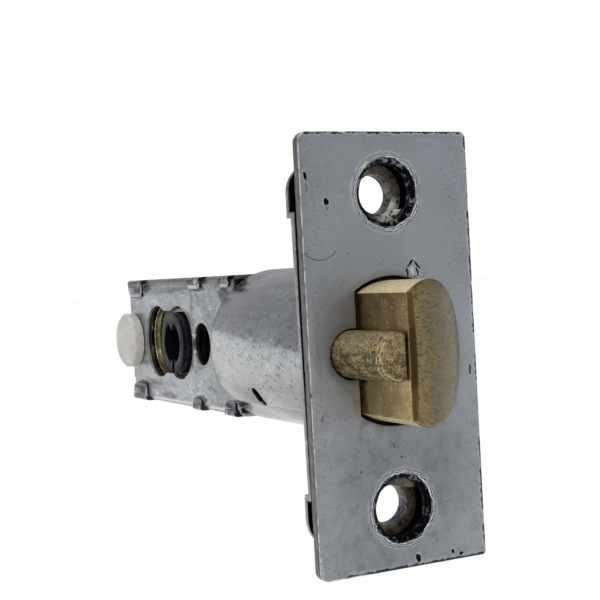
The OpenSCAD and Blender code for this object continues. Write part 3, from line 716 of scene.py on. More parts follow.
@dataclass(frozen=True)
class ClawZinc(ZincSheet):
    """Zinc on the bent claws, with painted shade beside their folds, painted dark reflections on their outer
    faces and painted highlights on their turns.
    """

    name: str = "zinc_claws"
    colour: Triple = (0.4, 0.41, 0.43)
    rough: float = 0.15

    def local(self, coat: Coat) -> None:
        """Adds the painted shade beside the folds, the painted dark reflections and the painted highlights on
        the turns.
        """
        g = coat.g
        claw = g.spot()[0].fit(5.4, 5.0)
        x, y, z = g.facing()
        # Painted shade on the faces beside the folds and on those that look up or down.
        dark = (abs(y).fit(0.35, 0.8) * 0.97 | abs(z).fit(0.5, 0.9) * 0.6) * claw
        coat.tint(dark, (0.025, 0.026, 0.03))
        # Painted dark reflections in patches on the outer faces.
        front = (x * -1.0).fit(0.85, 0.97) * g.cloud(0.9, 3.0, 0.34, 0.5, seed=4.0)
        coat.tint(front * claw * 0.92, (0.03, 0.032, 0.037))
        # Painted highlights on the rounded turns.
        coat.tint(g.edge(1.0, 0.7) * claw * 0.75, (0.95, 0.96, 0.98))
        coat.rough, coat.height = coat.rough * 0.8, coat.height * 0.25


@dataclass(frozen=True)
class BackZinc(ZincSheet):
    """The back plate: painted shade on its front, rusty dishes with a painted highlight, and ridged walls
    with painted shade at the screw holes.
    """

    name: str = "zinc_back_plate"
    screw_z: float = 20.65
    hole_r: float = 2.65
    dish_r: float = 4.2
    stretch: Triple = ONES

    def local(self, coat: Coat) -> None:
        """Adds the painted shade on the front, the rusty dishes with their painted highlight, and the ridged
        walls with painted shade and highlights.
        """
        g = coat.g
        # Painted shade on the faces that look forward, behind the faceplate.
        front = (g.facing()[1] * -1.0).fit(0.3, 0.7)
        x, y, z = g.spot()
        coat.tint(front * abs(x).fit(12.66, 12.4), (0.008, 0.008, 0.01))
        rise = z - g.math("SIGN", z) * self.screw_z
        away = g.radius(X=x, Z=rise)
        patch = g.cloud(0.75, 5.0, 0.38, 0.62, seed=21.0)
        flake = g.cloud(2.2, 4.0, 0.35, 0.6, seed=22.0)
        rust = g.mix(patch, (0.03, 0.02, 0.014), (0.14, 0.115, 0.078))
        rust = g.mix(flake * 0.45, rust, (0.24, 0.215, 0.165))
        # Painted highlight on the lower right of each dish.
        shine = (x * 0.8 - rise) / away
        shine = shine.fit(0.8, 1.25) * (flake.fit(0.1, 0.6) * z.fit(-1.0, 1.0))
        shine = shine * abs(z).fit(18.5, 19.1, 0.55, 0.95)
        rust = g.mix(shine, rust, (1.0, 0.97, 0.92))
        dish = away.fit(self.dish_r - 0.05, self.dish_r - 0.2)
        dish = dish * away.fit(self.hole_r + 0.02, self.hole_r + 0.12)
        coat.tint(dish, rust)
        coat.rough += dish * 0.14
        # Painted shade in the ridged walls of the holes, with paler bands on the ridges as painted
        # highlights.
        wall = away.fit(self.hole_r + 0.1, self.hole_r + 0.02)
        ridge = g.math("SINE", y * 21.0)
        ridged = g.mix(ridge.fit(-0.6, 0.8) * flake, (0.02, 0.02, 0.022), (0.42, 0.41, 0.4))
        coat.tint(wall, ridged)
        coat.height += ridge * wall


@dataclass(frozen=True)
class YellowSheet(Finish):
    """Yellow passivated sheet with a faint green and pink cast."""

    name: str = "yellow_sheet"
    slot: str = "chromated_steel"
    colour: Triple = (0.42, 0.35, 0.17)
    rough: float = 0.26
    gauge_y: float = 50.2

    def dress(self, coat: Coat) -> None:
        """Gives the coat the passivated sheet's colour, roughness and relief."""
        g = coat.g
        broad = g.cloud(0.6, 4.0, seed=1.5)
        cast = g.cloud(1.2, 3.0, 0.45, 0.65, seed=8.5)
        coat.height = g.cloud(3.0, 4.0, seed=2.5)
        coat.colour = self.shades(g, broad, 0.4, 1.5)
        coat.tint(cast * 0.45, (0.55, 0.33, 0.24))
        # The light edges are partly wear and partly painted highlights.
        coat.tint(g.edge(0.9) * 0.75, (0.95, 0.86, 0.6))
        coat.rough = coat.height * 0.15 + (self.rough - 0.05)
        _, y, z = g.spot()
        # Painted shade inside the small round hole of the guide plates.
        coat.tint(g.radius(Y=y - self.gauge_y, Z=z).fit(3.3, 3.1), (0.01, 0.009, 0.007))
        coat.join(0.003)


@dataclass(frozen=True)
class BrushedBrass(Finish):
    """Brass with a brushed bevel; the flat side and the nose are tarnished and the round side is sandy, with
    painted light and shade over them.
    """

    name: str = "brushed_brass"
    slot: str = "bolt_brass"
    colour: Triple = (0.15, 0.112, 0.043)
    rough: float = 0.38

    def dress(self, coat: Coat) -> None:
        """Gives the coat the brushed brass's colour, roughness and relief."""
        g = coat.g
        x, y, z = g.spot()
        normal = g.facing()
        fan = g.node("CombineXYZ", {1: z.fit(8.0, -8.0, 0.12, -0.42)})[0]
        brushed = g.grain((0.7, 0.7, 3.4), turn=fan, detail=5.0, low=0.36, high=0.64)
        deep = g.grain((0.85, 0.85, 3.3), turn=fan, detail=4.0, low=0.52, high=0.62, seed=6.0)
        broad = g.cloud(0.25, 4.0, seed=3.0)
        fine = g.cloud(3.2, 5.0, 0.32, 0.68, seed=4.0)
        coat.colour = self.shades(g, brushed * 0.55 + broad * 0.25 + fine * 0.2, 0.4, 1.36)
        # Painted highlight: warmer and lighter towards the left of the bevel.
        coat.tint(x.fit(1.0, -3.9) * (brushed * 0.5 + 0.2), (0.3, 0.222, 0.088))
        # Painted duller reflection towards the right of the bevel.
        coat.tint(x.fit(2.0, 8.0) * 0.3, (0.12, 0.098, 0.052))
        coat.tint(deep * 0.58, (0.04, 0.029, 0.011))
        flat = (normal[0] * -1.0).fit(0.85, 0.97)
        land = (normal[1] * -1.0).fit(0.93, 0.985)
        side = abs(normal[1]).fit(0.35, 0.1) * (1.0 - flat)
        smear = g.cloud(0.5, 5.0, 0.36, 0.64, seed=13.0)
        brown = g.mix(smear, (0.29, 0.2, 0.085), (0.46, 0.33, 0.15))
        khaki = g.mix(smear, (0.56, 0.42, 0.19), (0.92, 0.71, 0.35))
        # The flat side is painted darker brown towards the top as shade, and paler khaki below.
        flat_colour = g.mix(z.fit(-0.5, 2.0), khaki, brown)
        coat.tint(flat, g.mix(fine * 0.3, flat_colour, (0.16, 0.11, 0.045)))
        patch = g.cloud(0.8, 3.0, 0.6, 0.72, seed=17.0)
        # The land is tarnished, with painted shade making it darker in its middle beside the guard.
        land_shade_and_tarnish = g.mix(abs(z).fit(2.5, 5.5), (0.045, 0.029, 0.011), (0.085, 0.057, 0.022))
        coat.tint(land, g.mix(patch * 0.5, land_shade_and_tarnish, (0.2, 0.135, 0.055)))
        # The round side has a sandy grain and is painted pale gold as a highlight.
        sand = g.cloud(3.5, 5.0, 0.3, 0.7, seed=19.0)
        coat.tint(side, g.mix(sand, (0.78, 0.62, 0.31), (1.0, 0.9, 0.55)))
        coat.tint(g.specks(1.2, 0.2, 0.2, seed=5.0) * 0.75, (0.03, 0.022, 0.01))
        pale_flecks = g.strokes(0.8, 0.4, 0.07, 0.4, ACROSS_X, 4.0)
        coat.tint(pale_flecks * flat * 0.85, (0.95, 0.8, 0.55))
        # The lighter edges are partly wear and partly painted highlights.
        coat.tint(g.edge(0.9) * 0.2, (0.5, 0.39, 0.2))
        # Painted shade: all that lies behind the faceplate's front is painted nearly black.
        soot_and_shade = y.fit(0.3, 1.2)
        coat.tint(soot_and_shade, (0.008, 0.006, 0.004))
        coat.shader.set("Metallic", 1.0 - (side * 0.8 | soot_and_shade * 0.7))
        coat.rough = brushed * 0.12 + (self.rough - 0.05) + soot_and_shade * 0.2 - side * 0.1
        coat.height = (1.0 - flat) * (brushed + deep * -0.6) + fine * (side * 0.6 + 0.4)
        coat.join(0.009)


@dataclass(frozen=True)
class CastBrass(Finish):
    """Brass casting with a sandy skin, pits and dark drawn marks low on its side."""

    name: str = "cast_brass"
    slot: str = "guard_brass"
    colour: Triple = (0.27, 0.21, 0.105)
    rough: float = 0.42
    metal: float = 0.8

    def dress(self, coat: Coat) -> None:
        """Gives the coat the cast brass's colour, roughness and relief."""
        g = coat.g
        sand = g.cloud(6.5, 3.0, 0.36, 0.64, seed=3.3)
        broad = g.cloud(0.6, 4.0, seed=6.1)
        middle = g.cloud(1.9, 5.0, 0.36, 0.64, seed=7.7)
        level = sand * 0.45 + broad * 0.2 + middle * 0.3
        coat.colour = self.shades(g, level.fit(0.2, 0.78), 0.25, 1.75)
        pits = g.specks(3.4, 0.4, 0.24, seed=8.0)
        x, y, z = g.spot()
        drawn = g.grain((0.6, 0.3, 2.4), detail=4.0, low=0.46, high=0.62, seed=2.2)
        drawn = drawn * (z.fit(1.3, 0.0) * y.fit(-11.0, -10.4))
        # Painted light on the upper half of the side.
        painted_top_light = z.fit(0.2, 2.2) * y.fit(-11.1, -10.6)
        coat.tint(painted_top_light * sand * 0.45, (0.9, 0.74, 0.42))
        coat.tint(pits * 0.6, (0.035, 0.025, 0.01))
        coat.tint(drawn * 0.8, (0.05, 0.038, 0.018))
        # Painted shade on the end face.
        coat.tint((g.facing()[1] * -1.0).fit(0.9, 0.98) * 0.2, (0.13, 0.097, 0.045))
        # Painted highlight on the left of the rim of the end.
        coat.tint(g.edge(1.0, 2.0) * x.fit(-5.9, -7.2) * 0.5, (0.85, 0.7, 0.4))
        # Painted shade: all that lies behind the faceplate's front is painted nearly black.
        coat.tint(y.fit(0.3, 1.2), (0.008, 0.006, 0.004))
        coat.rough = sand * 0.2 + (self.rough - 0.1)
        coat.height = sand + pits * -1.6 + drawn * -0.8
        coat.join(0.06)


@dataclass(frozen=True)
class BlackHub(Finish):
    """Dark sintered hub, greyer on its end faces, with painted shade in its bore."""

    name: str = "dark_hub"
    slot: str = "black_hub"
    colour: Triple = (0.004, 0.005, 0.008)
    rough: float = 0.3
    metal: float = 0.0
    centre_y: float = 60.3
    bore_r: float = 3.5

    def dress(self, coat: Coat) -> None:
        """Gives the coat the hub's colour, roughness and relief."""
        g = coat.g
        normal = g.facing()
        x, y, z = g.spot()
        face = abs(normal[0]).fit(0.8, 0.97) * abs(x).fit(6.7, 6.9)
        fine = coat.height = g.cloud(2.2, 4.0, seed=1.0)
        coat.colour = self.shades(g, fine, 0.6, 1.4)
        coat.tint(face * 0.9, g.mix(fine, (0.007, 0.008, 0.011), (0.024, 0.026, 0.031)))
        # The lighter edges are partly wear and partly painted highlights.
        coat.tint(g.edge(0.9) * 0.4, (0.35, 0.35, 0.37))
        # Painted shade in the bore.
        deep = g.radius(Y=y - self.centre_y, Z=z).fit(self.bore_r + 0.6, self.bore_r + 0.4) * (1.0 - face)
        coat.tint(deep, (0.0015, 0.0015, 0.002))
        coat.rough = fine * 0.12 + (self.rough - 0.05) + deep * 0.5
        coat.shader.set("IOR", 1.18)
        coat.join(0.006)


@dataclass(frozen=True)
class WhitePlastic(Finish):
    """Moulded off-white plastic, a little yellowed."""

    name: str = "white_plastic"
    slot: str = "white_plastic"
    colour: Triple = (0.67, 0.65, 0.61)
    rough: float = 0.38
    metal: float = 0.0

    def dress(self, coat: Coat) -> None:
        """Gives the coat the plastic's colour, roughness and relief."""
        g = coat.g
        broad = g.cloud(0.3, 3.0, seed=4.0)
        fine = coat.height = g.cloud(1.4, 5.0, seed=5.0)
        coat.colour = self.shades(g, (broad + fine) * 0.5, 0.8, 1.14)
        coat.tint(g.specks(0.8, 0.2, 0.1, seed=4.0) * 0.4, (0.3, 0.28, 0.25))
        coat.rough = fine * 0.12 + (self.rough - 0.06)
        coat.join(0.02)
        for name, value in (("Weight", 0.12), ("Radius", (0.002, 0.0015, 0.001)), ("Scale", 1.0)):
            coat.shader.set("Subsurface " + name, value)


@dataclass(frozen=True)
class SpringSteel(Finish):
    """Plain drawn steel of the springs, pins and inner plates."""

    name: str = "plain_steel"
    colour: Triple = (0.33, 0.335, 0.35)
    rough: float = 0.32

    def dress(self, coat: Coat) -> None:
        """Gives the coat the steel's colour, roughness and relief."""
        g = coat.g
        drawn = coat.height = g.grain((0.3, 3.0, 0.3), detail=3.0, seed=1.0)
        broad = g.cloud(0.4, 3.0, seed=7.0)
        coat.colour = self.shades(g, (drawn + broad) * 0.5, 0.8, 1.2)
        coat.rough = drawn * 0.12 + (self.rough - 0.06)
        coat.join(0.004)


# Mesh tools


def new_piece(name: str, mesh: bpy.types.Mesh) -> Piece:
    """Puts a mesh in metres in the row frame into the scene as a piece."""
    made = bpy.data.objects.new(name, mesh)
    bpy.context.scene.collection.objects.link(made)
    return made


def mesh_of(name: str, bm: Solid) -> bpy.types.Mesh:
    """Writes a bmesh in millimetres into a mesh in metres, with its normals outward."""
    bmesh.ops.recalc_face_normals(bm, faces=bm.faces)
    bmesh.ops.scale(bm, vec=(MM, MM, MM), verts=bm.verts)
    mesh = bpy.data.meshes.new(name)
    bm.to_mesh(mesh)
    bm.free()
    return mesh


def smooth(mesh: bpy.types.Mesh, angle: float) -> None:
    """Shades a mesh smooth, and sharp where faces meet at more than the angle."""
    mesh.polygons.foreach_set("use_smooth", [True] * len(mesh.polygons))
    mesh.set_sharp_from_angle(angle=math.radians(angle))
    mesh.update()


def note_edges(mesh: bpy.types.Mesh) -> None:
    """Writes 1 into the edge attribute on faces with the second material, and clears the materials."""
    values = [0.0] * len(mesh.loops)
    for face in mesh.polygons:
        if face.material_index == 1:
            for loop in face.loop_indices:
                values[loop] = 1.0
    layer = mesh.attributes.get("edge") or mesh.attributes.new("edge", "FLOAT", "CORNER")
    layer.data.foreach_set("value", values)
    mesh.polygons.foreach_set("material_index", [0] * len(mesh.polygons))
    mesh.materials.clear()


def soften(
    node: str, width: float, segments: int = 3, angle: float = 32.0,
    edit: Callable[[Solid], None] | None = None,
) -> Piece:
    """Copies a node's mesh with its edges rounded.

    Args:
        node: the CAD node that is copied.
        width: the width of the rounded edges, in millimetres.
        segments: how many faces each rounding has.
        angle: the least angle between faces that makes an edge, in degrees.
        edit: changes the copied mesh before its edges are rounded.

    Returns:
        The new piece.
    """
    bm = bmesh.new()
    bm.from_mesh(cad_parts[node].data)
    bmesh.ops.remove_doubles(bm, verts=bm.verts, dist=2e-6)
    bmesh.ops.dissolve_limit(bm, angle_limit=math.radians(0.4), verts=bm.verts, edges=bm.edges)
    if edit is not None:
        edit(bm)
    mesh = bpy.data.meshes.new(f"{node}_soft")
    bm.to_mesh(mesh)
    bm.free()
    mesh.materials.clear()
    for _ in range(2):
        mesh.materials.append(None)
    mesh.polygons.foreach_set("material_index", [0] * len(mesh.polygons))
    mesh.polygons.foreach_set("use_smooth", [True] * len(mesh.polygons))
    piece = new_piece(f"{node}_soft", mesh)
    rounding = piece.modifiers.new("rounded_edges", "BEVEL")
    rounding.width, rounding.segments = width * MM, segments
    rounding.limit_method, rounding.angle_limit = "ANGLE", math.radians(angle)
    rounding.harden_normals, rounding.material = True, 1
    rounding.miter_outer = "MITER_ARC"
    shown = bpy.context.evaluated_depsgraph_get()
    mesh = bpy.data.meshes.new_from_object(
        piece.evaluated_get(shown), preserve_all_data_layers=True, depsgraph=shown
    )
    mesh.name = piece.data.name
    piece.modifiers.clear()
    piece.data = mesh
    note_edges(mesh)
    return piece


def skin(bm: Solid, rings: Sequence[Ring]) -> list[list[bmesh.types.BMFace]]:
    """Joins each ring of points to the next one and returns the faces, row by row."""
    rows = []
    for first, second in zip(rings, rings[1:]):
        pairs = [(k, (k + 1) % len(first)) for k in range(len(first))]
        rows.append([bm.faces.new((first[k], first[n], second[n], second[k])) for k, n in pairs])
    return rows


def tube(name: str, bm: Solid, rings: Sequence[Ring], angle: float) -> Piece:
    """Joins rings of points, closes both ends and returns the smooth piece."""
    skin(bm, rings)
    bm.faces.new(rings[0])
    bm.faces.new(rings[-1])
    piece = new_piece(name, mesh_of(name, bm))
    smooth(piece.data, angle)
    return piece


def lathe(name: str, profile: Sequence[Point], centre: Vector, sides: int = 96) -> Piece:
    """Turns a profile, pairs of a place along X and a radius, round an axis along X.

    Args:
        name: the piece's name.
        profile: the pairs, from one end to the other, in millimetres.
        centre: a point on the axis.
        sides: how many faces go round.

    Returns:
        The new piece.
    """
    bm = bmesh.new()
    turns = [math.tau * k / sides for k in range(sides)]
    rings = [[bm.verts.new(Vector((along, radius * math.cos(turn), radius * math.sin(turn))) + centre)
              for turn in turns] for along, radius in profile]
    return tube(name, bm, rings, 35.0)


def coil(name: str, mean_r: float, wire_r: float, turns: float, ends: Point, centre: Point) -> Piece:
    """Winds a wire round an axis along Y.

    Args:
        name: the piece's name.
        mean_r: the coil's mean radius.
        wire_r: the wire's radius.
        turns: how many turns there are.
        ends: the coil's first and last place along Y.
        centre: the axis's place in X and Z.

    Returns:
        The new piece.
    """
    bm = bmesh.new()
    steps, sides = int(turns * 36), 12
    run = ends[1] - ends[0] - 2 * wire_r
    rings = []
    for i in range(steps + 1):
        turn = math.tau * turns * (i / steps)
        out = Vector((math.cos(turn), 0.0, math.sin(turn)))
        middle = Vector((centre[0], ends[0] + wire_r + run * (i / steps), centre[1])) + out * mean_r
        around = [math.tau * k / sides for k in range(sides)]
        rings.append([bm.verts.new(middle + out * wire_r * math.cos(a) + Vector((0, wire_r * math.sin(a), 0)))
                      for a in around])
    return tube(name, bm, rings, 60.0)


def offset_loop(loop: Sequence[Point], inset: float, shares: Sequence[float] = ()) -> list[Point]:
    """Moves each point of a closed loop along its normal.

    Args:
        loop: the loop's points.
        inset: how far, outward from the loop's middle where it is above 0.
        shares: the share of it for each point, or nothing for all of it.

    Returns:
        The moved points.
    """
    before, after = [loop[-1], *loop[:-1]], [*loop[1:], loop[0]]
    area = sum(a[0] * b[1] - b[0] * a[1] for a, b in zip(loop, after))
    turn = 1.0 if area > 0 else -1.0
    moved = []
    for last, here, following, share in zip(before, loop, after, shares or [1.0] * len(loop)):
        dx, dz = following[0] - last[0], following[1] - last[1]
        reach = inset * share * turn / (math.hypot(dx, dz) or 1.0)
        moved.append((here[0] + reach * dz, here[1] - reach * dx))
    return moved


def inside(point: Point, loop: Sequence[Point]) -> bool:
    """Returns whether a point lies inside a closed loop."""
    hit = False
    x, z = point
    for (x0, z0), (x1, z1) in zip(loop, [*loop[1:], loop[0]]):
        if (z0 > z) != (z1 > z) and x < (x1 - x0) * (z - z0) / (z1 - z0) + x0:
            hit = not hit
    return hit


def fill_face(
    bm: Solid, loops: Sequence[Ring], depth: Callable[[float, float], float],
    pitch: float, lines: Sequence[Sequence[Point]] = (),
) -> None:
    """Fills the face between loops, the first of which is the outer one.

    Args:
        bm: the mesh that is filled.
        loops: the loops' points in order.
        depth: gives the face's place along Y from X and Z.
        pitch: the spacing of the points inside it.
        lines: rows of points that edges must follow.
    """
    verts = [v for loop in loops for v in loop]
    flat = [Vector((v.co.x, v.co.z)) for v in verts]
    edges, start = [], 0
    for loop in loops:
        edges += [(start + k, start + (k + 1) % len(loop)) for k in range(len(loop))]
        start += len(loop)
    for line in lines:
        edges += [(len(flat) + k, len(flat) + k + 1) for k in range(len(line) - 1)]
        flat += [Vector(point) for point in line]
    dice = random.Random(5)
    xs, zs = [p.x for p in flat], [p.y for p in flat]
    x = min(xs) + pitch
    while x < max(xs) - pitch / 2:
        z = min(zs) + pitch
        while z < max(zs) - pitch / 2:
            spot = Vector((x + dice.uniform(-0.2, 0.2) * pitch, z + dice.uniform(-0.2, 0.2) * pitch))
            if min((spot - p).length_squared for p in flat) > (0.5 * pitch) ** 2:
                flat.append(spot)
            z += pitch
        x += pitch
    points, _, faces, origin = geometry.delaunay_2d_cdt(flat, edges, [], 0, 1e-5, True)[:4]
    made: Ring = []
    for point, source in zip(points, origin):
        known = [s for s in source if s < len(verts)]
        made.append(verts[known[0]] if known else bm.verts.new((point.x, depth(point.x, point.y), point.y)))
    rings = [[(v.co.x, v.co.z) for v in loop] for loop in loops]
    for face in faces:
        middle = (sum(points[i].x for i in face) / len(face), sum(points[i].y for i in face) / len(face))
        if inside(middle, rings[0]) and not any(inside(middle, ring) for ring in rings[1:]):
            corners = [made[i] for i in face]
            if len(set(corners)) == len(corners) and bm.faces.get(corners) is None:
                bm.faces.new(corners)


# Pieces


class Workshop:
    """Holds the materials, one for each finish, and dresses pieces with them."""

    def __init__(self) -> None:
        """Builds the shared node groups."""
        self.groups = Effects().groups
        self.made: dict[str, Material] = {}

    def material(self, finish: Finish) -> Material:
        """Returns the finish's material, built when it is first asked for."""
        if finish.name not in self.made:
            self.made[finish.name] = finish.material(self.groups)
        return self.made[finish.name]

    def piece(self, piece: Piece, finish: Finish, body: Body, node: str) -> None:
        """Gives a new piece its material and body, and hides the node that it stands for."""
        piece.data.materials.append(self.material(finish))
        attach(piece, body.value)
        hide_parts(node)
        log.info("%s: %d faces on %s", piece.name, len(piece.data.polygons), body.value)

    def keep(self, finish: Finish, *nodes: str) -> None:
        """Dresses CAD nodes whose shapes are kept."""
        for node in nodes:
            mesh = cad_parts[node].data
            mesh.materials.clear()
            mesh.materials.append(self.material(finish))
            log.info("%s: kept from the frame", node)


@dataclass
class Faceplate:
    """The worn front plate with its screw holes and the opening for the bolts."""

    width: float = 25.4
    height: float = 57.15
    thick: float = 1.5
    corners: tuple[float, ...] = (0.9, 1.4, 1.3, 0.5)
    opening_r: float = 9.82
    opening_flat: float = -5.57
    notch_x: float = -6.25
    notch_r: float = 3.35
    screw_z: float = 20.65
    sink_r: float = 4.65
    # The second and fourth rows are painted shadows: darker streaks below the dents in the first and third
    # rows.
    marks: tuple[Mark, ...] = marks_on(
        1, 0.0,
        (-11.85, 22.9, 0.26, 0.72, 0.25, 1.0, 1.1), (-11.8, 21.5, 0.13, 0.75, 0.1, 0.6),
        (-9.05, 19.65, 0.42, 0.45, 0.6, 1.0, 1.2), (-8.95, 18.85, 0.18, 0.4, 0.1, 0.55),
        (-3.45, 23.75, 0.24, 1.7, -0.7, -0.45, 0.3), (3.5, 10.3, 0.9, 0.8, 0.1, -0.3, 0.9),
        (2.5, 10.2, 0.2, 1.0, 0.1, 1.0, 0.9), (3.0, 11.3, 0.75, 0.2, 0.75, 1.0, 0.9),
        (4.1, 11.0, 0.85, 0.16, -0.85, 1.0, 0.9), (3.3, 10.3, 0.15, 0.85, 0.35, -1.0),
        (4.35, 9.8, 0.6, 0.14, -0.5, -0.9), (4.0, 10.2, 0.13, 0.7, 0.3, 1.0, 0.9),
        (6.4, 8.6, 0.18, 0.3, 0.4, 0.9), (6.9, 6.6, 0.15, 0.35, -0.4, 0.8),
        (7.1, 5.4, 0.14, 0.75, -0.2, 0.8), (9.8, 2.0, 0.14, 0.9, 0.2, 0.7),
        (11.6, -3.4, 0.2, 0.8, 0.0, 0.8), (1.95, -27.5, 0.45, 0.6, 0.4, 1.0, 1.3),
        (7.4, -27.4, 0.3, 0.3, 0.2, 1.0, 1.3), (8.65, -27.9, 0.36, 0.25, 0.0, 1.0, 1.3),
        (-12.7, -5.0, 0.16, 1.3, 0.1, 0.7), (-11.0, -7.5, 0.1, 1.1, -0.7, 0.6),
        (-0.9, -12.3, 0.12, 0.5, 0.2, 0.7, 0.9), (0.2, -13.9, 0.3, 0.16, 0.3, 0.8, 1.2),
        (-12.35, -26.8, 0.3, 1.6, 0.1, -0.4, 0.8),
    )

    def build(self, shop: Workshop) -> None:
        """Builds the plate and dresses it."""
        finish = WornPlate(screw_z=self.screw_z, marks=self.marks)
        shop.piece(self.plate(), finish, Body.CASE, "faceplate")

    def outline(self) -> list[Point]:
        """Returns the outer edge, with the wear of its long use."""
        points: list[Point] = []
        w, h = self.width / 2, self.height / 2
        corners = [(sx * (w - r), sz * (h - r), start, r) for (sx, sz, start), r in
                   zip(((1, 1, 0), (-1, 1, 90), (-1, -1, 180), (1, -1, 270)), self.corners)]
        for (x, z, start, r), (nx, nz, nstart, nr) in zip(corners, corners[1:] + corners[:1]):
            for k in range(7):
                turn = math.radians(start + 15 * k)
                points.append((x + r * math.cos(turn), z + r * math.sin(turn)))
            first, turn = points[-1], math.radians(nstart)
            last = (nx + nr * math.cos(turn), nz + nr * math.sin(turn))
            steps = max(2, int(math.dist(first, last) / 0.4))
            points += [tuple(a + (b - a) * i / steps for a, b in zip(first, last)) for i in range(1, steps)]
        worn = []
        for x, z in points:
            rub = 0.03 * abs(noise.noise(Vector((x * 0.5, 3.0, z * 0.5))))
            rub += 0.2 * max(0.0, noise.noise(Vector((x * 0.9, 7.0, z * 0.9))) - 0.3)
            size = max(math.hypot(x, z), 0.1)
            worn.append((x - rub * x / size, z - rub * z / size))
        return worn

    def opening(self) -> list[Point]:
        """Returns the edge of the opening for the two bolts, clockwise from the flat's top."""
        flat, big, small = self.opening_flat, self.opening_r, self.notch_r
        half = math.sqrt(big**2 - flat**2)
        start = math.atan2(half, flat)
        turns = [start - (2 * start) * i / 120 for i in range(121)]
        points = [(big * math.cos(turn), big * math.sin(turn)) for turn in turns]
        reach = math.sqrt(small**2 - (flat - self.notch_x) ** 2)
        points += [(flat, -half + (half - reach) * i / 10) for i in range(1, 10)]
        first = math.atan2(-reach, flat - self.notch_x)
        turns = [first + (-math.tau - 2 * first) * i / 48 for i in range(49)]
        points += [(self.notch_x + small * math.cos(turn), small * math.sin(turn)) for turn in turns]
        return points + [(flat, reach + (half - reach) * i / 10) for i in range(1, 10)]

    def screw_hole(self, side: int) -> list[Point]:
        """Returns the rough edge of one screw hole, at the top for 1 and below for -1."""
        points = []
        for k in range(72):
            turn = math.tau * k / 72
            rough = noise.noise(Vector((2.5 * math.cos(turn), 2.5 * math.sin(turn), 4.0 * side)))
            r = self.sink_r - 0.12 + 0.16 * rough
            points.append((r * math.cos(turn), side * self.screw_z + r * math.sin(turn)))
        return points

    def plate(self) -> Piece:
        """Builds the plate's mesh from its loops, a front and a rear face and rounded edges."""
        bm = bmesh.new()
        rear = self.thick
        soft = [(0.14, 0.0), (0.05, 0.03), (0.0, 0.1), (0.0, 0.3), (0.0, rear - 0.15), (0.1, rear)]
        cut = [(0.1, 0.0), (0.02, 0.05), (0.0, 0.14), (0.0, rear - 0.1), (0.06, rear)]
        cone = [(0.25, 0.0), (0.08, 0.04), (-0.1, 0.1), (-0.32, 0.2), (-0.55, 0.32), (-0.66, 0.5),
                (-0.7, rear - 0.1), (-0.62, rear)]
        loops = [(self.outline(), soft, -1.0, True), (self.opening(), cut, 1.0, True),
                 (self.screw_hole(1), cone, 1.0, False), (self.screw_hole(-1), cone, 1.0, False)]
        fronts, rears = [], []
        for loop, rings, side, worn in loops:
            made = [[bm.verts.new((x, depth, z)) for x, z in offset_loop(loop, inset * side)]
                    for inset, depth in rings]
            for row in skin(bm, made)[:3]:
                for face in row:
                    face.material_index = int(worn)
            fronts.append(made[0])
            rears.append(made[-1])
        fill_face(bm, fronts, lambda x, z: 0.0, 1.1)
        fill_face(bm, rears, lambda x, z: rear, 4.0)
        for vert in bm.verts:
            x, y, z = vert.co
            if y < 0.5:
                wave = 0.03 * noise.noise(Vector((x * 0.12, 1.0, z * 0.12)))
                vert.co.y = y + max(0.0, 0.03 + wave)
        piece = new_piece("faceplate_worn", mesh_of("faceplate_worn", bm))
        note_edges(piece.data)
        smooth(piece.data, 50.0)
        return piece


@dataclass
class FrontParts:
    """The back plate and the round tube behind the faceplate."""

    edge_x: float = 12.7
    lower_z: float = -11.0
    bent: float = 0.4
    run: float = 4.0

    def build(self, shop: Workshop) -> None:
        """Builds the pieces and dresses them."""
        back = soften("back_plate", 0.12, edit=self.settle)
        shop.piece(back, BackZinc(colour=(0.3, 0.3, 0.31)), Body.CASE, "back_plate")
        shop.piece(soften("housing_tube", 0.1), TubeZinc(), Body.CASE, "housing_tube")
        shop.keep(YellowSheet(), "spring_seat")
        shop.keep(SpringSteel(), "deadlock_leaf")

    def settle(self, bm: Solid) -> None:
        """Draws in the back plate's lower near edge, which sits a little inside the faceplate's."""
        for vert in bm.verts:
            away = self.edge_x + vert.co.x / MM
            if vert.co.z / MM < self.lower_z and away < self.run:
                vert.co.x += self.bent * min(1.0, (self.run - away) / self.run) * MM


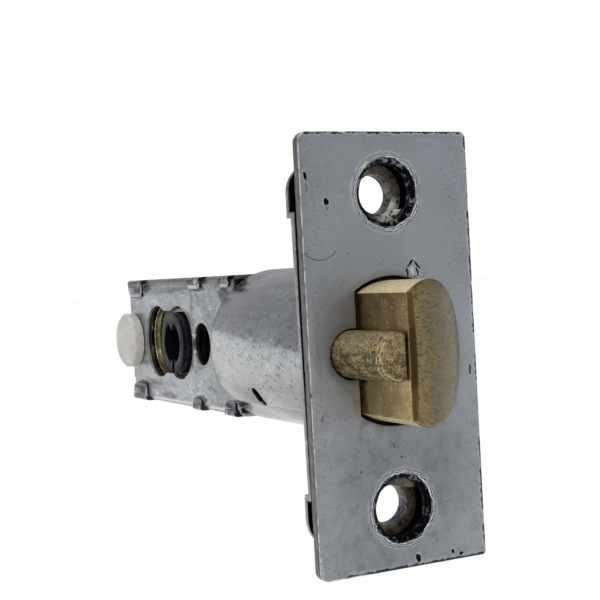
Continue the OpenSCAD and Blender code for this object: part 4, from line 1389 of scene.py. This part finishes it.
@dataclass
class RearCase:
    """The folded case with its claws and the guide plates inside it."""

    face_x: float = 6.35
    panel_y: float = 53.4
    panel_top: float = 9.4
    panel_low: float = 7.2
    step: float = 1.2
    ramp: float = 0.3
    crown_w: float = 0.75
    crown: float = 0.36
    tip_r: float = 0.85
    # Painted shadows round the claws, with some staining.
    claw_shadows_and_stains: tuple[Mark, ...] = marks_on(
        0, -6.4,
        (79.0, 8.2, 3.0, 0.7, 0.0, 0.5, 1.2), (74.6, 9.6, 2.0, 0.9, 0.0, 0.6, 1.2),
        (51.0, 9.2, 3.0, 0.6, 0.0, 0.6, 1.2), (40.3, 8.2, 2.4, 1.5, 0.0, 0.55, 1.4),
        (79.4, -8.1, 3.2, 0.8, 0.0, 0.7, 1.2), (51.9, -9.2, 2.8, 0.7, 0.0, 0.7, 1.2),
        (66.0, -9.4, 4.0, 0.7, 0.0, 0.4, 1.2),
    )

    def build(self, shop: Workshop) -> None:
        """Builds the pieces and dresses them."""
        near = soften("case_shell", 0.12, edit=self.ramp_panel)
        shop.piece(near, CaseZinc(marks=self.claw_shadows_and_stains), Body.CASE, "case_shell")
        far = soften("case_back", 0.3, 4, edit=self.crown_claws)
        shop.piece(far, ClawZinc(), Body.CASE, "case_back")
        for node in ("near_guide_plate", "far_guide_plate"):
            shop.piece(soften(node, 0.1), YellowSheet(), Body.CASE, node)
        shop.keep(SpringSteel(), "detent_spring", "detent_rivet")

    def crown_claws(self, bm: Solid) -> None:
        """Rounds the tips and outer faces of the claws, which are bent over the case's near side."""
        tips = [edge for edge in bm.edges
                if all(vert.co.x < (0.02 - self.face_x) * MM for vert in edge.verts)
                and edge.calc_length() > 0.5 * MM
                and abs(edge.verts[0].co.x - edge.verts[1].co.x) > 0.98 * edge.calc_length()]
        bmesh.ops.bevel(bm, geom=tips, offset=self.tip_r * MM, segments=4, profile=0.5, affect="EDGES")
        outer = [face for face in bm.faces
                 if abs(face.normal.x) > 0.99 and abs(face.calc_center_median().x) > (self.face_x + 0.1) * MM]
        bmesh.ops.inset_individual(bm, faces=outer, thickness=self.crown_w * MM)
        inner = {vert for face in outer for vert in face.verts}
        beside = [near for face in outer for edge in face.edges for near in edge.link_faces]
        rim = {vert for face in beside for vert in face.verts}
        for vert in rim - inner:
            vert.co.x -= math.copysign(self.crown * MM, vert.co.x)

    def ramp_panel(self, bm: Solid) -> None:
        """Turns the steps round the raised panel into slopes."""
        for vert in bm.verts:
            x, y, z = vert.co / MM
            if x > -self.face_x - 0.1:
                continue
            if abs(y - self.panel_y) < 0.05:
                vert.co.y += self.ramp * MM
            if abs(z - self.panel_top) < 0.05:
                vert.co.z -= self.ramp * MM
            if min(abs(z + self.panel_low), abs(z + self.panel_low + self.step)) < 0.05:
                vert.co.z += self.ramp * MM


@dataclass
class LatchNose:
    """The latch bolt's nose: a flat land, then a broad curved bevel, with rounded borders."""

    flat_x: float = -5.0
    radius: float = 9.25
    throw: float = 11.5
    land: float = 1.1
    bevel_r: float = 38.0
    bevel_end: float = 1.2
    border: float = 0.4
    join_y: float = 0.5

    def build(self) -> Piece:
        """Builds the nose onto the softened rear of the latch bolt."""
        piece = soften("latch_bolt", 0.3, 4, 30.0)
        bm = bmesh.new()
        bm.from_mesh(piece.data)
        bmesh.ops.scale(bm, vec=(1 / MM,) * 3, verts=bm.verts)
        plane = {"plane_co": (0, self.join_y, 0), "plane_no": (0, -1, 0), "clear_outer": True}
        bmesh.ops.bisect_plane(bm, geom=[*bm.verts, *bm.edges, *bm.faces], dist=1e-4, **plane)
        rim, border = self.rim(bm), self.border
        shape = [(v.co.x, v.co.z) for v in rim]
        shares = [0.3 + 0.7 * min(1.0, max(0.0, (x - self.flat_x) / 0.7)) for x, z in shape]
        rings = [rim]
        for inset, drop in ((0.0, 0.55), (0.0, border), (0.04, 0.57 * border), (0.11, 0.31 * border),
                            (0.22, 0.11 * border), (border, 0.0)):
            moved = offset_loop(shape, -inset, shares)
            rings.append([bm.verts.new((x, min(self.depth(x, z) + drop * share, self.join_y - 0.05), z))
                          for (x, z), share in zip(moved, shares)])
        rows = skin(bm, rings)[2:]
        zs = [self.inner() * (k / 16 - 1) for k in range(33)]
        creases = [[(self.turn_x(z) + shift, z) for z in zs] for shift in (-0.2, -0.07, 0.07, 0.2)]
        fill_face(bm, [rings[-1]], self.depth, 0.6, creases)
        bmesh.ops.recalc_face_normals(bm, faces=bm.faces)
        layer = bm.loops.layers.float.get("edge") or bm.loops.layers.float.new("edge")
        for loop in (loop for row in rows for face in row for loop in face.loops):
            loop[layer] = 1.0
        bmesh.ops.scale(bm, vec=(MM,) * 3, verts=bm.verts)
        bm.to_mesh(piece.data)
        bm.free()
        piece.name = piece.data.name = "latch_bolt_dressed"
        smooth(piece.data, 40.0)
        return piece

    def rim(self, bm: Solid) -> Ring:
        """Returns the open end's points in order."""
        edges = [edge for edge in bm.edges if edge.is_boundary]
        order = [edges[0].verts[0]]
        last = None
        while True:
            here = order[-1]
            last = next(e for e in here.link_edges if e.is_boundary and e is not last)
            following = last.other_vert(here)
            if following is order[0]:
                return order
            order.append(following)

    def turn_x(self, z: float) -> float:
        """Returns where the land turns into the bevel, which is nearer the flat towards the ends."""
        return self.flat_x + self.land - 0.45 * (z / self.radius) ** 2

    def inner(self) -> float:
        """Returns how far up the land's turn reaches inside the rounded border."""
        return math.sqrt((self.radius - self.border - 0.15) ** 2 - (self.flat_x + self.land) ** 2) - 0.25

    def depth(self, x: float, z: float) -> float:
        """Returns the nose's place along Y at a point of its section."""
        start, end = Vector((self.flat_x + self.land, -self.throw)), Vector((self.radius, -self.bevel_end))
        along = (end - start).normalized()
        reach = math.sqrt(self.bevel_r**2 - (end - start).length_squared / 4)
        centre = (start + end) / 2 + Vector((-along.y, along.x)) * reach
        away = x + (start.x - self.turn_x(z)) - centre.x
        rise = centre.y - math.sqrt(max(self.bevel_r**2 - away * away, 0.0))
        lift = max(rise, -self.throw)
        blend = max(0.0, 0.2 - abs(x - self.turn_x(z))) / 0.2
        return lift + 0.035 * blend * blend


@dataclass
class Bolts:
    """The latch bolt, the guard bolt, the tail and their springs."""

    seat_y: float = 21.8
    latch_keep: float = 0.32
    guard_keep: float = 0.53

    def build(self, shop: Workshop) -> None:
        """Builds the pieces and dresses them."""
        shop.piece(LatchNose().build(), BrushedBrass(), Body.LATCH, "latch_bolt")
        shop.piece(soften("guard_bolt", 0.14, 3, 30.0), CastBrass(), Body.GUARD, "guard_bolt")
        shop.keep(SpringSteel(), "latch_tail", "bolt_pin", "tail_pin")
        seat = self.seat_y
        for name, keep, mean_r, wire_r, turns, start, axis_x in (
            ("latch", self.latch_keep, 4.925, 0.42, 5.5, 4.7, 1.8),
            ("guard", self.guard_keep, 1.025, 0.17, 16.0, -2.9, -7.3),
        ):
            wound = coil(f"{name}_spring_wound", mean_r, wire_r, turns, (start, seat), (axis_x, 0.0))
            shop.piece(wound, SpringSteel(), Body.CASE, f"{name}_spring")
            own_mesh(wound)


@dataclass
class Works:
    """The hub, the yoke, the carriage and the button."""

    head_y: float = -6.55
    button_r: float = 4.89
    button_y: float = 81.8

    def build(self, shop: Workshop) -> None:
        """Builds the pieces and dresses them."""
        shop.piece(soften("hub", 0.1, 2, 30.0), BlackHub(), Body.HUB, "hub")
        shop.keep(
            SpringSteel(), "near_carriage_plate", "far_carriage_plate", "upper_carriage_post",
            "lower_carriage_post", "near_yoke_plate", "far_yoke_plate", "upper_strap_rivet",
            "lower_strap_rivet", "upper_bridge_rivet", "lower_bridge_rivet", "backset_catch", "catch_rivet",
        )
        shop.piece(self.button(), WhitePlastic(), Body.CARRIAGE, "backset_button")

    def button(self) -> Piece:
        """Turns the button with soft edges and a faintly hollow face, and its stem."""
        low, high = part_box("backset_button")
        front, end = low.x / MM, high.x / MM
        r, back = self.button_r, self.head_y
        face = ((0.08, 0.02), (0.06, r - 2.0), (0.0, r - 1.1), (0.03, r - 0.86), (0.12, r - 0.7),
                (0.52, r - 0.16), (0.64, r - 0.04), (0.8, r))
        profile = [(front + along, radius) for along, radius in face]
        profile += [(back - 0.4, r), (back - 0.12, r - 0.08), (back, r - 0.3), (back, 1.72),
                    (back + 0.1, 1.7), (-3.32, 1.7), (-3.3, 1.68), (-3.3, 1.2), (end, 1.2), (end, 0.02)]
        return lathe("backset_button_moulded", profile, Vector((0.0, self.button_y, 0.0)))


@dataclass
class Studio:
    """The floor, the light and the camera at the photograph's angle."""

    focal: float = 75.42
    turn: Triple = (0.0245, -0.4709, -0.0649)
    shift: Triple = (12.411, 6.6073, 163.958)
    floor_z: float = -28.7
    floor_half: float = 3000.0

    def build(self) -> None:
        """Builds the floor, the lamps, the world and the camera."""
        self.camera()
        self.floor()
        self.world()
        self.lamp("key", (-260.0, -200.0, 260.0), (0.0, 20.0, 0.0), 200.0, 0.5)
        self.lamp("fill", (240.0, -240.0, 60.0), (0.0, 10.0, 0.0), 200.0, 0.08)
        self.lamp("top", (20.0, 60.0, 320.0), (0.0, 20.0, 0.0), 200.0, 0.25)
        bpy.context.scene.view_settings.view_transform = "Standard"

    def camera(self) -> None:
        """Places the camera."""
        rows = Euler(self.turn, "XYZ").to_matrix() @ Matrix(((1, 0, 0), (0, 0, -1), (0, 1, 0)))
        data = bpy.data.cameras.new("camera")
        data.lens, data.sensor_width = self.focal, 36.0
        data.clip_start, data.clip_end = 0.01, 10.0
        made = new_piece("camera", data)
        spot = -(rows.transposed() @ Vector(self.shift)) * MM
        axes = Matrix((rows[0], -rows[1], -rows[2])).transposed()
        made.matrix_world = Matrix.Translation(spot) @ axes.to_4x4()
        bpy.context.scene.camera = made

    def floor(self) -> None:
        """Lays a plain pale floor that stays white to the camera and keeps a faint shadow."""
        bm = bmesh.new()
        side = self.floor_half
        corners = ((-side, -side), (side, -side), (side, side), (-side, side))
        bm.faces.new([bm.verts.new((x, y, self.floor_z)) for x, y in corners])
        made = new_piece("floor", mesh_of("floor", bm))
        material = bpy.data.materials.new("pale_floor")
        g = fresh_graph(material)
        soft = g.node("BsdfDiffuse", {"Color": (0.9, 0.9, 0.9)})
        white = g.node("Emission", {"Color": (1.0, 1.0, 1.0), "Strength": 1.04})
        path = g.node("LightPath")
        seen = path["Is Camera Ray"] | (path["Is Glossy Ray"] | path["Is Transmission Ray"])
        mixed = g.node("MixShader", {0: seen * 0.9, 1: soft[0], 2: white[0]})
        g.node("OutputMaterial", {"Surface": mixed[0]})
        made.data.materials.append(material)

    def world(self) -> None:
        """Makes the plain surround: white to the camera, softly graded in reflections."""
        world = bpy.context.scene.world = bpy.data.worlds.new("plain_surround")
        g = fresh_graph(world)
        path = g.node("LightPath")
        up = g.node("SeparateXYZ", {0: g.node("TexCoord")["Generated"]})[2]
        graded = g.mix(up.fit(0.04, 0.065), (1.0, 1.0, 1.0), (0.46, 0.465, 0.475))
        graded = g.mix(up.fit(0.3, 1.0), graded, (0.4, 0.4, 0.41))
        colour = g.mix(path["Is Glossy Ray"], (0.5, 0.5, 0.51), graded)
        colour = g.mix(path["Is Camera Ray"] | path["Is Transmission Ray"], colour, (1.0, 1.0, 1.0))
        back = g.node("Background", {"Color": colour, "Strength": 1.0})
        g.node("OutputWorld", {"Surface": back[0]})

    def lamp(self, name: str, spot: Triple, aim: Triple, size: float, watts: float) -> None:
        """Hangs one soft square lamp.

        Args:
            name: the lamp's name.
            spot: its place, in millimetres.
            aim: the point it looks at, in millimetres.
            size: its side, in millimetres.
            watts: its power.
        """
        data = bpy.data.lights.new(name, "AREA")
        data.shape, data.size, data.energy = "SQUARE", size * MM, watts
        made = new_piece(name, data)
        made.location = Vector(spot) * MM
        made.rotation_mode = "QUATERNION"
        made.rotation_quaternion = (Vector(aim) - Vector(spot)).to_track_quat("-Z", "Y")


def main() -> None:
    """Builds the latch's pieces in order, then the studio."""
    logging.basicConfig(level=logging.INFO, format="%(name)s %(message)s")
    shop = Workshop()
    for part in (Faceplate(), FrontParts(), RearCase(), Bolts(), Works()):
        part.build(shop)
    Studio().build()


if __name__ == "__main__":
    main()
